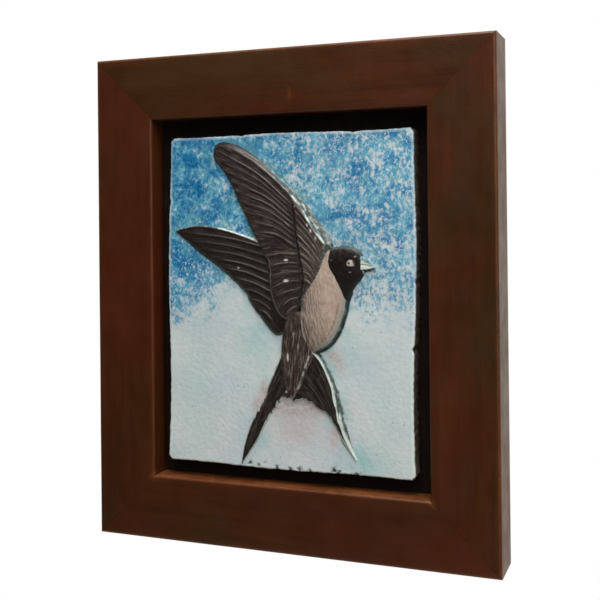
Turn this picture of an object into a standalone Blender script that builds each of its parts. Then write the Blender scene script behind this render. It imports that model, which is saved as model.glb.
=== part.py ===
"""Framed ceramic relief: a swallow tile on a black board in a deep wooden frame.

Metres, +Z up. The front faces -Y and the back lies in the plane y = 0. The origin
is on the hanger's flat outer face, at the middle of the top rail's back.
"""

import math

import bmesh
import bpy
import numpy as np
from mathutils import Matrix, Vector
from mathutils.geometry import delaunay_2d_cdt

MM = 0.001
GAP = 0.3 * MM

# Tile
TILE_WIDTH = 158.2 * MM
TILE_HEIGHT = 201.4 * MM
TILE_THICKNESS = 11 * MM
TILE_RECESS = 5 * MM
TILE_SKEW = 2.2 * MM
TILE_DROP = 1 * MM
TILE_CORNER_RADIUS = 3 * MM
TILE_EDGE_RADIUS = 1.2 * MM

# Wooden frame around the tile
SIDE_MARGIN = 8.6 * MM
END_MARGIN = 10 * MM
RAIL_WIDTH = 39.4 * MM
ARRIS_RADIUS = 2 * MM
ARRIS_STEPS = 3
REBATE_WIDTH = 8 * MM
BACK_SPACE = 11.2 * MM

# Board behind the tile
BOARD_THICKNESS = 3 * MM
BOARD_CLEARANCE = 1 * MM

# Hanger plate and its nails, let into the top rail's back
PLATE_HEIGHT = 8 * MM
PLATE_THICKNESS = 1 * MM
PLATE_STANDOFF = 2.2 * MM
TOOTH_COUNT = 9
TOOTH_PITCH = 3 * MM
TOOTH_DEPTH = 1.4 * MM
RAMP_LENGTH = 2 * MM
PAD_LENGTH = 7 * MM
POCKET_MARGIN = 3 * MM
NAIL_RADIUS = 0.7 * MM
NAIL_HEAD_RADIUS = 2 * MM
NAIL_HEAD_THICKNESS = 0.8 * MM
NAIL_LENGTH = 12 * MM
ROUND_STEPS = 24

# Sizes that follow from the ones above
OPENING_WIDTH = TILE_WIDTH + 2 * SIDE_MARGIN
OPENING_HEIGHT = TILE_HEIGHT + 2 * END_MARGIN
FRAME_WIDTH = OPENING_WIDTH + 2 * RAIL_WIDTH
FRAME_HEIGHT = OPENING_HEIGHT + 2 * RAIL_WIDTH
LIP_DEPTH = TILE_RECESS + TILE_THICKNESS
FRAME_DEPTH = LIP_DEPTH + GAP + BOARD_THICKNESS + BACK_SPACE
HANGER_DROP = (RAIL_WIDTH - REBATE_WIDTH) / 2
FRAME_CENTRE_Z = HANGER_DROP - FRAME_HEIGHT / 2
TILE_FACE_Y = -FRAME_DEPTH + TILE_RECESS
TILE_BACK_Y = TILE_FACE_Y + TILE_THICKNESS
BOARD_FRONT_Y = TILE_BACK_Y + GAP
POCKET_DEPTH = PLATE_THICKNESS + PLATE_STANDOFF
TOOTHED_LENGTH = TOOTH_COUNT * TOOTH_PITCH
PLATE_LENGTH = TOOTHED_LENGTH + 2 * (RAMP_LENGTH + PAD_LENGTH)
NAIL_X = (PLATE_LENGTH - PAD_LENGTH) / 2

# The swallow is set out on a drawing, 158.2 by 201.4 units like the tile, from the middle of the frame
DRAWING_WIDTH = 158.2
DRAWING_HEIGHT = 201.4
UNIT = min(TILE_WIDTH / DRAWING_WIDTH, TILE_HEIGHT / DRAWING_HEIGHT)
RELIEF_HEIGHT = 4.8 * MM
WALL_SLOPE = 0.55
RIDGE_WIDTH = 0.75
POINTS_PER_SPAN = 3
TILE_EDGE_STEP = 10.0
DOME_STEP = 2.2
LATTICE_STEP = 8.0
CORNER_LIMIT = 0.35

# How the tile's hand-cut sides wander: how far, and the length over which they swing
SIDE_WANDER = 0.8
SIDE_WANDER_STEP = 24.0
END_WANDER = 0.4
END_WANDER_STEP = 17.0

# Outlines of the relief, in drawing units: smooth stretches that meet at corners
NEAR_WING_LEAD = [
    (-46, 88.5), (-44, 91.6), (-39, 92), (-30, 88.5), (-16.8, 80.5), (-4.4, 70.6), (8, 57.9), (19, 41.5), (25.5, 33)
]
NEAR_WING_FRONT = [(25.5, 33), (24.6, 27), (21, 15), (15, 7)]
NEAR_WING_BASE = [(15, 7), (10.5, -2), (4, -11), (-4, -9), (-9.5, 4), (-10, 20), (-14.5, 30), (-20, 40)]
NEAR_WING_TRAIL = [(-20, 40), (-29.3, 58.5), (-36.5, 73), (-44.5, 83.9), (-46, 88.5)]
FAR_WING_TOP = [(-72.8, 41.3), (-66, 43), (-58, 43.9), (-42, 42.1), (-20, 35.4), (0, 27)]
FAR_WING_ROOT = [(0, 27), (4, 6), (2, -17)]
FAR_WING_TRAIL = [
    (2, -17), (-2.5, -20.2), (-6.8, -20.6), (-12.1, -15.2), (-21, -3.5), (-25, 4.6), (-39, 17), (-58, 30),
    (-72.8, 41.3)
]
HEAD = [(27, 28.7), (31, 30.5), (37, 31.2), (43.5, 30.3), (47.3, 27.2), (48.3, 21)]
BREAST = [(48.3, 21), (47.4, 15), (42.5, 8.7), (38.6, 1.7), (36.7, -7.3), (32.4, -18.4), (26.4, -26), (17.8, -30.3)]
BELLY_INNER = [(17.8, -30.3), (12, -20), (10.5, -4), (15, 10), (21.5, 20), (27, 28.7)]
BEAK = [(44, 27), (51, 24), (55.3, 19.6), (50.5, 18.7), (44, 18.8)]
RUMP_LEFT = [(1.4, -8), (-1, -19.9), (-2.2, -31), (-2.1, -41), (0, -51.7), (4.2, -58)]
RUMP_RIGHT = [(4.2, -58), (8.3, -52.5), (12.4, -42), (17, -32), (14, -21), (11, -8), (1.4, -8)]
LEFT_FORK_OUTER = [(0, -28), (-6.6, -43), (-12.7, -56), (-21, -72), (-26.6, -86), (-29.7, -99.4)]
LEFT_FORK_INNER = [(-29.7, -99.4), (-19.5, -84), (-14.4, -74.4), (-8.6, -66.5), (-3, -58), (4, -56), (0, -28)]
RIGHT_FORK_OUTER = [(15, -29), (21.8, -36.5), (27.3, -48.5), (30.7, -60.4), (33.6, -73), (36.5, -81), (42.8, -92)]
RIGHT_FORK_INNER = [(42.8, -92), (35.3, -80.2), (28, -69), (18, -61.7), (10.5, -58.2), (4, -57.5), (15, -29)]

# Three long edges are bevelled wider than the other walls: the bevel's width at each of their points.
LEAD_BEVEL = [1.1, 2.6, 3.4, 3.9, 3.3, 2.2, 3.1, 5, 4.5]
TRAIL_BEVEL = [1.2, 1.8, 2, 2.2, 2.2, 2.2, 2.2, 2, 0.7]
FORK_BEVEL = [1.6, 2, 2.8, 3.5, 3.8, 3, 0.6]
BEVEL_BLEND = 1.5

# Heights of the relief, as shares of its full height
NEAR_WING_RISE = (0.4, 0.81)
FAR_WING_RISE = (0.26, 0.38)
COVERT_STEP = 0.12
LEAD_FALL = 0.008
LEAD_FALL_WIDTH = 14.0
HEAD_RISE = 0.86
BELLY_RISE = 0.94
BEAK_RISE = (0.6, 0.25)
RUMP_RISE = (0.52, 0.66)
FORK_RISE = (0.2, 0.36)
RIDGE_RISE = 0.11
DOME_RADIUS = 9.0
DOME_BASE = 0.45
RUMP_RADIUS = 5.0
RUMP_BASE = 0.8
FOLD_WIDTH = 1.2

# Feathers: the root line and the tip line of each fan, how many, and how far they bow
FOLD = [(1, 66), (6, 56), (7.9, 36), (10.6, 21), (11.8, 11), (9, -3)]
FANS = {
    "primaries": ([(5, 57), (6.6, 46), (7, 32)], [(-42.5, 89.5), (-35, 73), (-19.5, 40.5)], 9, 3.0),
    "secondaries": ([(8.5, 27), (10.8, 11), (8.5, -3)], [(-11.5, 26), (-8, 8), (1, -9.5)], 7, 1.2),
    "coverts": ([(3, 62), (9, 34), (13, 12)], [(24, 33.5), (23.8, 24), (17, 9)], 10, 1.0),
    "far_primaries": ([(-11, 31), (-8, 14), (-9, -12)], [(-67, 40.5), (-40, 18.4), (-18.5, -6)], 9, 1.6),
    "left_fork": ([(-1, -36), (1, -44), (2, -52)], [(-28.5, -95), (-19, -81), (-7, -63.5)], 3, -0.8),
    "right_fork": ([(17.5, -33), (15, -42), (9, -54)], [(41.5, -89.5), (32.5, -75), (20, -62)], 4, 1.0),
    "rump": ([(2, -13), (7, -12), (12.5, -17)], [(-0.3, -44), (3.5, -56), (9.8, -46)], 4, 0.0),
}

EYE = (41.5, 22)
EYE_RADIUS = 2.4
EYE_RISE = 0.09

WOOD = (0.055, 0.019, 0.008, 1.0)
GLAZE = (0.32, 0.45, 0.52, 1.0)
BLACK = (0.006, 0.004, 0.003, 1.0)
STEEL = (0.52, 0.52, 0.50, 1.0)


def clear_scene():
    """Removes whatever the scene holds."""
    for obj in list(bpy.data.objects):
        bpy.data.objects.remove(obj, do_unlink=True)


def material(name, colour, roughness, metallic=0.0):
    """A plain Principled material."""
    made = bpy.data.materials.new(name)
    made.use_nodes = True
    shader = made.node_tree.nodes["Principled BSDF"]
    shader.inputs["Base Color"].default_value = colour
    shader.inputs["Roughness"].default_value = roughness
    shader.inputs["Metallic"].default_value = metallic
    return made


def mesh_object(name, body, collection, finish=None, place=(0, 0, 0), turn=(0, 0, 0)):
    """Turns a bmesh into an object of the collection, with its faces pointing out."""
    bmesh.ops.recalc_face_normals(body, faces=body.faces)
    mesh = bpy.data.meshes.new(name)
    body.to_mesh(mesh)
    body.free()
    obj = bpy.data.objects.new(name, mesh)
    collection.objects.link(obj)
    obj.location = place
    obj.rotation_euler = turn
    if finish:
        mesh.materials.append(finish)
    return obj


def box(name, size, collection, **options):
    """A rectangular block about its own origin."""
    body = bmesh.new()
    bmesh.ops.create_cube(body, size=1, matrix=Matrix.Diagonal((*size, 1)))
    return mesh_object(name, body, collection, **options)


def rod(name, radius, length, collection, **options):
    """A round rod along Y, about its own origin."""
    body = bmesh.new()
    bmesh.ops.create_cone(
        body,
        cap_ends=True,
        segments=ROUND_STEPS,
        radius1=radius,
        radius2=radius,
        depth=length,
        matrix=Matrix.Rotation(math.radians(90), 4, "X"),
    )
    return mesh_object(name, body, collection, **options)


def cut(obj, cutter):
    """Cuts one object by another, which stays as a hidden guide."""
    cutter.hide_render = True
    cutter.display_type = "WIRE"
    boolean = obj.modifiers.new(f"cut by {cutter.name}", "BOOLEAN")
    boolean.operation = "DIFFERENCE"
    boolean.object = cutter


def rail_profile():
    """The rail's section: (distance from the outer edge, depth), with both front edges rounded."""
    turns = np.linspace(0, math.pi / 2, ARRIS_STEPS + 1)
    inner_x = RAIL_WIDTH - ARRIS_RADIUS
    front_y = -FRAME_DEPTH + ARRIS_RADIUS
    outer_arc = [(ARRIS_RADIUS * (1 - math.cos(t)), front_y - ARRIS_RADIUS * math.sin(t)) for t in turns]
    inner_arc = [(inner_x + ARRIS_RADIUS * math.sin(t), front_y - ARRIS_RADIUS * math.cos(t)) for t in turns]
    rebate_y = -FRAME_DEPTH + LIP_DEPTH
    rebate = [(RAIL_WIDTH, rebate_y), (RAIL_WIDTH - REBATE_WIDTH, rebate_y), (RAIL_WIDTH - REBATE_WIDTH, 0)]
    return [(0, 0)] + outer_arc + inner_arc + rebate


def rail(name, outward, half_length, angle, collection, finish):
    """A mitred rail: its section lofted between two 45-degree ends, turned about the frame's centre."""
    trim = GAP / math.sqrt(2)
    body = bmesh.new()
    ends = []
    for side in (-1, 1):
        ring = [Vector((side * (half_length - w - trim), y, outward - w)) for w, y in rail_profile()]
        ends.append([body.verts.new(point) for point in ring])
        body.faces.new(ends[-1])
    count = len(ends[0])
    for i in range(count):
        j = (i + 1) % count
        body.faces.new((ends[0][i], ends[0][j], ends[1][j], ends[1][i]))
    centre = (0, 0, FRAME_CENTRE_Z)
    return mesh_object(name, body, collection, finish=finish, place=centre, turn=(0, angle, 0))


def frame_rails(collection, finish):
    """The four rails, each turned a quarter further about the frame's centre."""
    half_width, half_height = FRAME_WIDTH / 2, FRAME_HEIGHT / 2
    quarter = math.pi / 2
    return {
        side: rail(f"frame_rail_{side}", outward, half_length, angle, collection, finish)
        for side, outward, half_length, angle in (
            ("top", half_height, half_width, 0),
            ("right", half_width, half_height, quarter),
            ("bottom", half_height, half_width, 2 * quarter),
            ("left", half_width, half_height, -quarter),
        )
    }


def backing_board(collection, finish):
    """The board in the rails' rebate."""
    spare = 2 * (REBATE_WIDTH - BOARD_CLEARANCE)
    size = (OPENING_WIDTH + spare, BOARD_THICKNESS, OPENING_HEIGHT + spare)
    centre = (0, BOARD_FRONT_Y + BOARD_THICKNESS / 2, FRAME_CENTRE_Z)
    return box("backing_board", size, collection, finish=finish, place=centre)


def hanger_plate(collection, finish):
    """A toothed strip whose middle stands flush with the frame's back and whose ends are bent down to the wood."""
    teeth = np.arange(-TOOTH_COUNT, TOOTH_COUNT + 1) * TOOTH_PITCH / 2
    ramp_end = TOOTHED_LENGTH / 2 + RAMP_LENGTH
    ends = np.array([ramp_end, PLATE_LENGTH / 2])
    columns = np.concatenate([-ends[::-1], teeth, ends])
    raised = np.abs(columns) <= TOOTHED_LENGTH / 2 + GAP / 2
    pad_y = -POCKET_DEPTH + GAP + PLATE_THICKNESS
    notch = np.where(np.arange(len(columns)) % 2 == 0, TOOTH_DEPTH, 0.0) * raised
    body = bmesh.new()
    rows = []
    for x, up, lift in zip(columns, raised, notch):
        y = 0.0 if up else pad_y
        low = body.verts.new((x, y, -PLATE_HEIGHT / 2 + lift))
        high = body.verts.new((x, y, PLATE_HEIGHT / 2))
        rows.append((low, high))
    for (low, high), (next_low, next_high) in zip(rows, rows[1:]):
        body.faces.new((low, next_low, next_high, high))
    plate = mesh_object("sawtooth_hanger", body, collection, finish=finish)
    outward = plate.data.polygons[len(rows) // 2].normal.y
    wall = plate.modifiers.new("thickness", "SOLIDIFY")
    wall.thickness = PLATE_THICKNESS
    wall.offset = -1 if outward > 0 else 1
    wall.use_even_offset = True
    return plate


def nail(name, x, collection, finish):
    """A nail along Y: a turned profile of head and shank, its head over the plate's pad."""
    head_y = -POCKET_DEPTH + 2 * GAP + PLATE_THICKNESS
    profile = [
        (0, NAIL_HEAD_THICKNESS),
        (NAIL_HEAD_RADIUS, NAIL_HEAD_THICKNESS),
        (NAIL_HEAD_RADIUS, 0),
        (NAIL_RADIUS, 0),
        (NAIL_RADIUS, -NAIL_LENGTH),
        (0, -NAIL_LENGTH - NAIL_RADIUS),
    ]
    body = bmesh.new()
    points = [body.verts.new((r, 0, h)) for r, h in profile]
    for a, b in zip(points, points[1:]):
        body.edges.new((a, b))
    made = mesh_object(name, body, collection, finish=finish, place=(x, head_y, 0), turn=(-math.pi / 2, 0, 0))
    spin = made.modifiers.new("turned", "SCREW")
    spin.steps = ROUND_STEPS
    spin.render_steps = ROUND_STEPS
    spin.use_merge_vertices = True
    spin.merge_threshold = 0.00001
    return made


def fit_hanger(top_rail, plate, cutters):
    """Cuts the pocket and the nails' holes in the top rail, and the nails' holes in the plate."""
    pocket_size = (PLATE_LENGTH + 2 * POCKET_MARGIN, 2 * POCKET_DEPTH, PLATE_HEIGHT + 2 * POCKET_MARGIN)
    cut(top_rail, box("hanger_pocket", pocket_size, cutters))
    hole_length = 2 * (NAIL_LENGTH + NAIL_RADIUS + POCKET_DEPTH)
    for side in (-1, 1):
        hole = rod(f"nail_hole_{side}", NAIL_RADIUS + GAP, hole_length, cutters, place=(side * NAIL_X, 0, 0))
        cut(top_rail, hole)
        cut(plate, hole)


def smooth_curve(points, spans=POINTS_PER_SPAN):
    """A Catmull-Rom curve through the points: a cubic on each stretch, its slopes set by the neighbours."""
    p = np.asarray(points, float)
    p = np.vstack([2 * p[0] - p[1], p, 2 * p[-1] - p[-2]])
    t = np.linspace(0, 1, spans, endpoint=False)[:, None]
    pieces = []
    for a, b, c, d in zip(p, p[1:], p[2:], p[3:]):
        pieces.append(b + 0.5 * t * (c - a + t * (2 * a - 5 * b + 4 * c - d + t * (3 * (b - c) + d - a))))
    return np.vstack(pieces + [p[-2:-1]])


def closed_outline(*stretches):
    """One closed ring from smooth stretches that meet end to end."""
    return np.vstack([smooth_curve(stretch)[:-1] for stretch in stretches])


def nearest(points, line):
    """Distance from each point to a line, and how far along the line its nearest point lies, 0 to 1."""
    start, step = line[:-1], np.diff(line, axis=0)
    lengths = np.einsum("ij,ij->i", step, step)
    away = points[:, None] - start[None]
    along = np.clip(np.einsum("ijk,jk->ij", away, step) / lengths, 0, 1)
    gap = np.linalg.norm(away - along[..., None] * step[None], axis=2)
    best = gap.argmin(axis=1)
    row = np.arange(len(points))
    return gap[row, best], (best + along[row, best]) / len(start)


def depth_inside(points, ring):
    """Distance to a closed ring, positive inside it and negative outside."""
    line = np.vstack([ring, ring[:1]])
    x, z = points[:, 0][:, None], points[:, 1][:, None]
    (x0, z0), (x1, z1) = line[:-1].T, line[1:].T
    rise = np.where(z1 == z0, 1e-9, z1 - z0)
    crossed = ((z0 > z) != (z1 > z)) & (x < (x1 - x0) * (z - z0) / rise + x0)
    inside = crossed.sum(axis=1) % 2 == 1
    gap = nearest(points, line)[0]
    return np.where(inside, gap, -gap)


def ease(share):
    """0 to 1 with level ends."""
    share = np.clip(share, 0, 1)
    return share * share * (3 - 2 * share)


def fan_lines(name):
    """A fan's feather ridges: curves from evenly spaced roots to evenly spaced tips, bowed to one side."""
    root, tip, count, bow = FANS[name]
    shares = np.linspace(0, 1, count)
    lines = []
    for share in shares:
        start, end = at_share(root, share), at_share(tip, share)
        chord = end - start
        side = across(chord[None])[0]
        side *= np.sign(side.sum()) * bow
        lines.append(smooth_curve([start, (start + end) / 2 + side, end]))
    return lines


def at_share(points, share):
    """The point at a share of a smooth curve's length."""
    line = smooth_curve(points, 8)
    run = np.concatenate([[0], np.cumsum(np.hypot(*np.diff(line, axis=0).T))])
    return np.array([np.interp(share * run[-1], run, line[:, k]) for k in (0, 1)])


def ridges(points, name):
    """Height of a fan's ridges: a bump across each line, fading out at its two ends."""
    height = np.zeros(len(points))
    for line in fan_lines(name):
        gap, along = nearest(points, line)
        fade = ease(along / 0.15) * ease((1 - along) / 0.12)
        height = np.maximum(height, (1 - ease(gap / RIDGE_WIDTH)) * fade)
    return height * RIDGE_RISE


def wall_width(points, name, top):
    """How far a shape's wall runs out from its ring: by the walls' slope, and further along a bevelled edge."""
    width = WALL_SLOPE * top * RELIEF_HEIGHT / UNIT
    if name not in BEVELS:
        return width
    edge, widths = BEVELS[name]
    gap, along = nearest(points, smooth_curve(edge))
    bevel = np.interp(along * (len(widths) - 1), np.arange(len(widths)), widths)
    past_edge = gap - np.abs(depth_inside(points, RINGS[name]))
    return width + (bevel - width) * ease(1 - past_edge / BEVEL_BLEND)


def raised(points, name):
    """A raised shape: its top inside its ring, and a sloping wall down to the tile outside it."""
    top = TOPS[name](points)
    return top * ease(1 + depth_inside(points, RINGS[name]) / wall_width(points, name, top))


def between(low, high, share):
    """From low to high as the share goes from 0 to 1."""
    return low + (high - low) * np.clip(share, 0, 1)


def dome(points, ring, radius, base):
    """A rounded top, 1 at its highest: a quarter ellipse in from the ring over a radius, from a base share up."""
    share = np.clip(depth_inside(points, ring) / radius, 0, 1)
    return base + (1 - base) * np.sqrt(1 - (1 - share) ** 2)


def near_wing_top(points):
    """Higher toward the shoulder and the leading edge, with a step up to the coverts past the fold."""
    from_lead = nearest(points, smooth_curve(NEAR_WING_LEAD))[0]
    low, high = NEAR_WING_RISE
    top = between(low, high, (points[:, 0] + 47) / 62) - LEAD_FALL * np.minimum(from_lead, LEAD_FALL_WIDTH)
    fold = smooth_curve(FOLD)
    right_of_fold = points[:, 0] - np.interp(-points[:, 1], -fold[:, 1], fold[:, 0])
    below_bend = ease((72 - points[:, 1]) / 16)
    top = top + COVERT_STEP * ease(right_of_fold / FOLD_WIDTH) * below_bend
    feathers = ridges(points, "primaries") + ridges(points, "secondaries") + ridges(points, "coverts")
    return top + feathers


def far_wing_top(points):
    """Higher toward the body, with its own fan of feathers."""
    return between(*FAR_WING_RISE, (points[:, 0] + 73) / 50) + ridges(points, "far_primaries")


def fork_top(name):
    """A tail streamer: lower toward its tip."""
    return lambda points: between(*FORK_RISE, (points[:, 1] + 98) / 50) + ridges(points, name)


def rump_top(points):
    """The rump: rounded across, higher toward the back."""
    rise = between(*RUMP_RISE, (points[:, 1] + 58) / 40)
    return rise * dome(points, RINGS["rump"], RUMP_RADIUS, RUMP_BASE) + ridges(points, "rump")


def body_top(points):
    """Belly and head: one rounded form, lower at the head, with the eye as a small bead."""
    rise = between(BELLY_RISE, HEAD_RISE, points[:, 1] / 20)
    from_eye = np.hypot(*(points - np.array(EYE)).T)
    bead = EYE_RISE * np.sqrt(np.clip(1 - (from_eye / EYE_RADIUS) ** 2, 0, 1))
    return rise * dome(points, RINGS["body"], DOME_RADIUS, DOME_BASE) + bead


def beak_top(points):
    """The beak: lower toward its point."""
    return between(*BEAK_RISE, (points[:, 0] - 46) / 11)


RINGS = {
    "far_wing": closed_outline(FAR_WING_TOP, FAR_WING_ROOT, FAR_WING_TRAIL),
    "left_fork": closed_outline(LEFT_FORK_OUTER, LEFT_FORK_INNER),
    "right_fork": closed_outline(RIGHT_FORK_OUTER, RIGHT_FORK_INNER),
    "rump": closed_outline(RUMP_LEFT, RUMP_RIGHT),
    "beak": closed_outline(BEAK[:3], BEAK[2:], [BEAK[-1], BEAK[0]]),
    "body": closed_outline(HEAD, BREAST, BELLY_INNER),
    "near_wing": closed_outline(NEAR_WING_LEAD, NEAR_WING_FRONT, NEAR_WING_BASE, NEAR_WING_TRAIL),
}
BEVELS = {
    "near_wing": (NEAR_WING_LEAD, LEAD_BEVEL),
    "far_wing": (FAR_WING_TRAIL, TRAIL_BEVEL),
    "right_fork": (RIGHT_FORK_OUTER, FORK_BEVEL),
}
TOPS = {
    "far_wing": far_wing_top,
    "left_fork": fork_top("left_fork"),
    "right_fork": fork_top("right_fork"),
    "rump": rump_top,
    "beak": beak_top,
    "body": body_top,
    "near_wing": near_wing_top,
}


def relief(points):
    """Height of the swallow above the tile's face, in shares of the relief: the highest shape at each point."""
    return np.max([raised(points, name) for name in RINGS], axis=0)


def across(steps):
    """The unit vector square to each step, on its right."""
    return np.stack([steps[:, 1], -steps[:, 0]], axis=1) / np.hypot(*steps.T)[:, None]


def offset_ring(ring, distance):
    """The ring moved outward by a distance, and further at its corners, so that its sides keep that distance."""
    ahead, behind = np.roll(ring, -1, axis=0), np.roll(ring, 1, axis=0)
    next_side = across(ahead - ring)
    outward = next_side + across(ring - behind)
    outward /= np.hypot(*outward.T)[:, None]
    reach = np.clip(np.sum(outward * next_side, axis=1), CORNER_LIMIT, 1)
    turning = np.sum(ring[:, 0] * ahead[:, 1] - ahead[:, 0] * ring[:, 1])
    return ring + outward * (np.sign(turning) * distance / reach)[:, None]


def tile_ring():
    """The tile's hand-cut outline in drawing units: a skewed rectangle with round corners and slightly wavy sides."""
    half_width, half_height = TILE_WIDTH / UNIT / 2, TILE_HEIGHT / UNIT / 2
    radius = TILE_CORNER_RADIUS / UNIT
    turns = np.linspace(0, math.pi / 2, 4)
    ring = []
    for quarter, (sx, sz) in enumerate(((1, 1), (-1, 1), (-1, -1), (1, -1))):
        centre = np.array([sx * (half_width - radius), sz * (half_height - radius)])
        angles = turns + quarter * math.pi / 2
        ring.append(centre + radius * np.stack([np.cos(angles), np.sin(angles)], axis=1))
    corners = np.vstack(ring)
    points = []
    for a, b in zip(corners, np.roll(corners, -1, axis=0)):
        count = max(1, round(np.hypot(*(b - a)) / TILE_EDGE_STEP))
        points.append(a + (b - a) * np.arange(count)[:, None] / count)
    points = np.vstack(points)
    return hand_cut(points)


def hand_cut(points):
    """Skews the tile's outline, makes its sides wander a little and drops it below the frame's middle."""
    x, z = points[:, 0], points[:, 1]
    skew = TILE_SKEW / UNIT * z / (TILE_HEIGHT / UNIT)
    wander_x = SIDE_WANDER * np.sin(z / SIDE_WANDER_STEP + 0.6) * np.sign(x)
    wander_z = END_WANDER * np.sin(x / END_WANDER_STEP + 2.0) * np.sign(z)
    return np.stack([x + skew + wander_x, z + wander_z - TILE_DROP / UNIT], axis=1)


def edge_lines():
    """Every line that the relief's mesh must follow, as (points, closed)."""
    lines = []
    for name, ring in RINGS.items():
        wall = wall_width(ring, name, TOPS[name](ring))
        lines.append((ring, True))
        lines.append((offset_ring(ring, wall), True))
        lines.append((offset_ring(ring, wall / 2), True))
    for inward in (1, 2, 3):
        lines.append((offset_ring(RINGS["body"], -DOME_STEP * inward), True))
    for name in FANS:
        for line in fan_lines(name):
            side = across(np.gradient(line, axis=0)) * RIDGE_WIDTH
            lines += [(line + side * step, False) for step in (-1, 0, 1)]
    fold = smooth_curve(FOLD)
    lines += [(fold, False), (fold + (FOLD_WIDTH, 0), False)]
    turns = np.linspace(0, 2 * math.pi, 10, endpoint=False)
    circle = np.stack([np.cos(turns), np.sin(turns)], axis=1)
    lines += [(EYE + EYE_RADIUS * share * circle, True) for share in (0.6, 1)]
    return lines


def edge_drop(points):
    """How far the tile's rounded edge lies below its face: a quarter circle in from the outline."""
    radius = TILE_EDGE_RADIUS / UNIT
    inward = np.clip(depth_inside(points, tile_ring()), 0, radius)
    return TILE_EDGE_RADIUS * (1 - np.sqrt(1 - (1 - inward / radius) ** 2))


def background_points(border):
    """A wide lattice over the bare face, so that no long triangle runs from a raised edge to the tile's border."""
    half_width, half_height = TILE_WIDTH / UNIT / 2, TILE_HEIGHT / UNIT / 2
    across = np.arange(-half_width, half_width, LATTICE_STEP)
    up = np.arange(-half_height, half_height, LATTICE_STEP)
    lattice = np.stack(np.meshgrid(across, up), axis=-1).reshape(-1, 2)
    clear = depth_inside(lattice, border) > LATTICE_STEP / 4
    for ring in RINGS.values():
        clear &= depth_inside(lattice, ring) < -LATTICE_STEP / 2
    return lattice[clear]


def tile_face_mesh():
    """Triangles of the tile's front: a constrained triangulation over the outline, walls and feathers."""
    points, edges = [], []

    def add(line, closed):
        first = len(points)
        points.extend(Vector(point) for point in line)
        count = len(line)
        edges.extend((first + i, first + (i + 1) % count) for i in range(count if closed else count - 1))

    border = tile_ring()
    add(border, True)
    radius = TILE_EDGE_RADIUS / UNIT
    for share in (0.3, 1):
        add(offset_ring(border, -radius * share), True)
    for line, closed in edge_lines():
        add(line, closed)
    points.extend(Vector(point) for point in background_points(border))
    border_face = [list(range(len(border)))]
    flat, _, faces, *_ = delaunay_2d_cdt(points, edges, border_face, 1, 1e-4, False)
    return np.array([tuple(point) for point in flat]), faces


def relief_tile(collection, finish):
    """The tile with the swallow on it: the front's triangles, walled round to a flat back."""
    flat, faces = tile_face_mesh()
    height = relief(flat) * RELIEF_HEIGHT - edge_drop(flat)
    body = bmesh.new()
    verts = [body.verts.new((x * UNIT, TILE_FACE_Y - h, z * UNIT)) for (x, z), h in zip(flat, height)]
    for face in faces:
        body.faces.new([verts[i] for i in face])
    border = [edge for edge in body.edges if edge.is_boundary]
    wall = bmesh.ops.extrude_edge_only(body, edges=border)["geom"]
    for vert in (item for item in wall if isinstance(item, bmesh.types.BMVert)):
        vert.co.y = TILE_BACK_Y
    rim = [item for item in wall if isinstance(item, bmesh.types.BMEdge) and item.is_boundary]
    bmesh.ops.edgeloop_fill(body, edges=rim)
    place = (0, 0, FRAME_CENTRE_Z)
    tile = mesh_object("relief_tile", body, collection, finish=finish, place=place)
    tile.data.shade_smooth()
    tile.data.set_sharp_from_angle(angle=math.radians(35))
    return tile


def build():
    """Makes every piece and hangs them on one empty at the origin."""
    clear_scene()
    parts = bpy.data.collections.new("framed_swallow_relief")
    cutters = bpy.data.collections.new("cutters")
    for collection in (parts, cutters):
        bpy.context.scene.collection.children.link(collection)

    steel = material("zinc_plated_steel", STEEL, 0.35, 1.0)
    rails = frame_rails(parts, material("stained_wood", WOOD, 0.4))
    backing_board(parts, material("black_board", BLACK, 0.6))
    relief_tile(parts, material("glazed_ceramic", GLAZE, 0.3))
    plate = hanger_plate(parts, steel)
    for side, x in (("left", -NAIL_X), ("right", NAIL_X)):
        nail(f"hanger_nail_{side}", x, parts, steel)
    fit_hanger(rails["top"], plate, cutters)

    root = bpy.data.objects.new("hanging_point", None)
    parts.objects.link(root)
    for obj in parts.objects:
        if obj is not root:
            obj.parent = root


build()
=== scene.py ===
"""Looks of a framed ceramic relief: a swallow tile on a black board in a deep wooden frame.

Metres, +Z up, and the front faces -Y. The swallow is set out on a drawing in millimetres
from the middle of the frame, x to the right and z up, and its heights are millimetres too.
"""

import logging
import math
from dataclasses import dataclass, field
from enum import Enum
from functools import cached_property, reduce

import bmesh
import bpy
import numpy as np
from mathutils import Matrix, Vector


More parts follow.
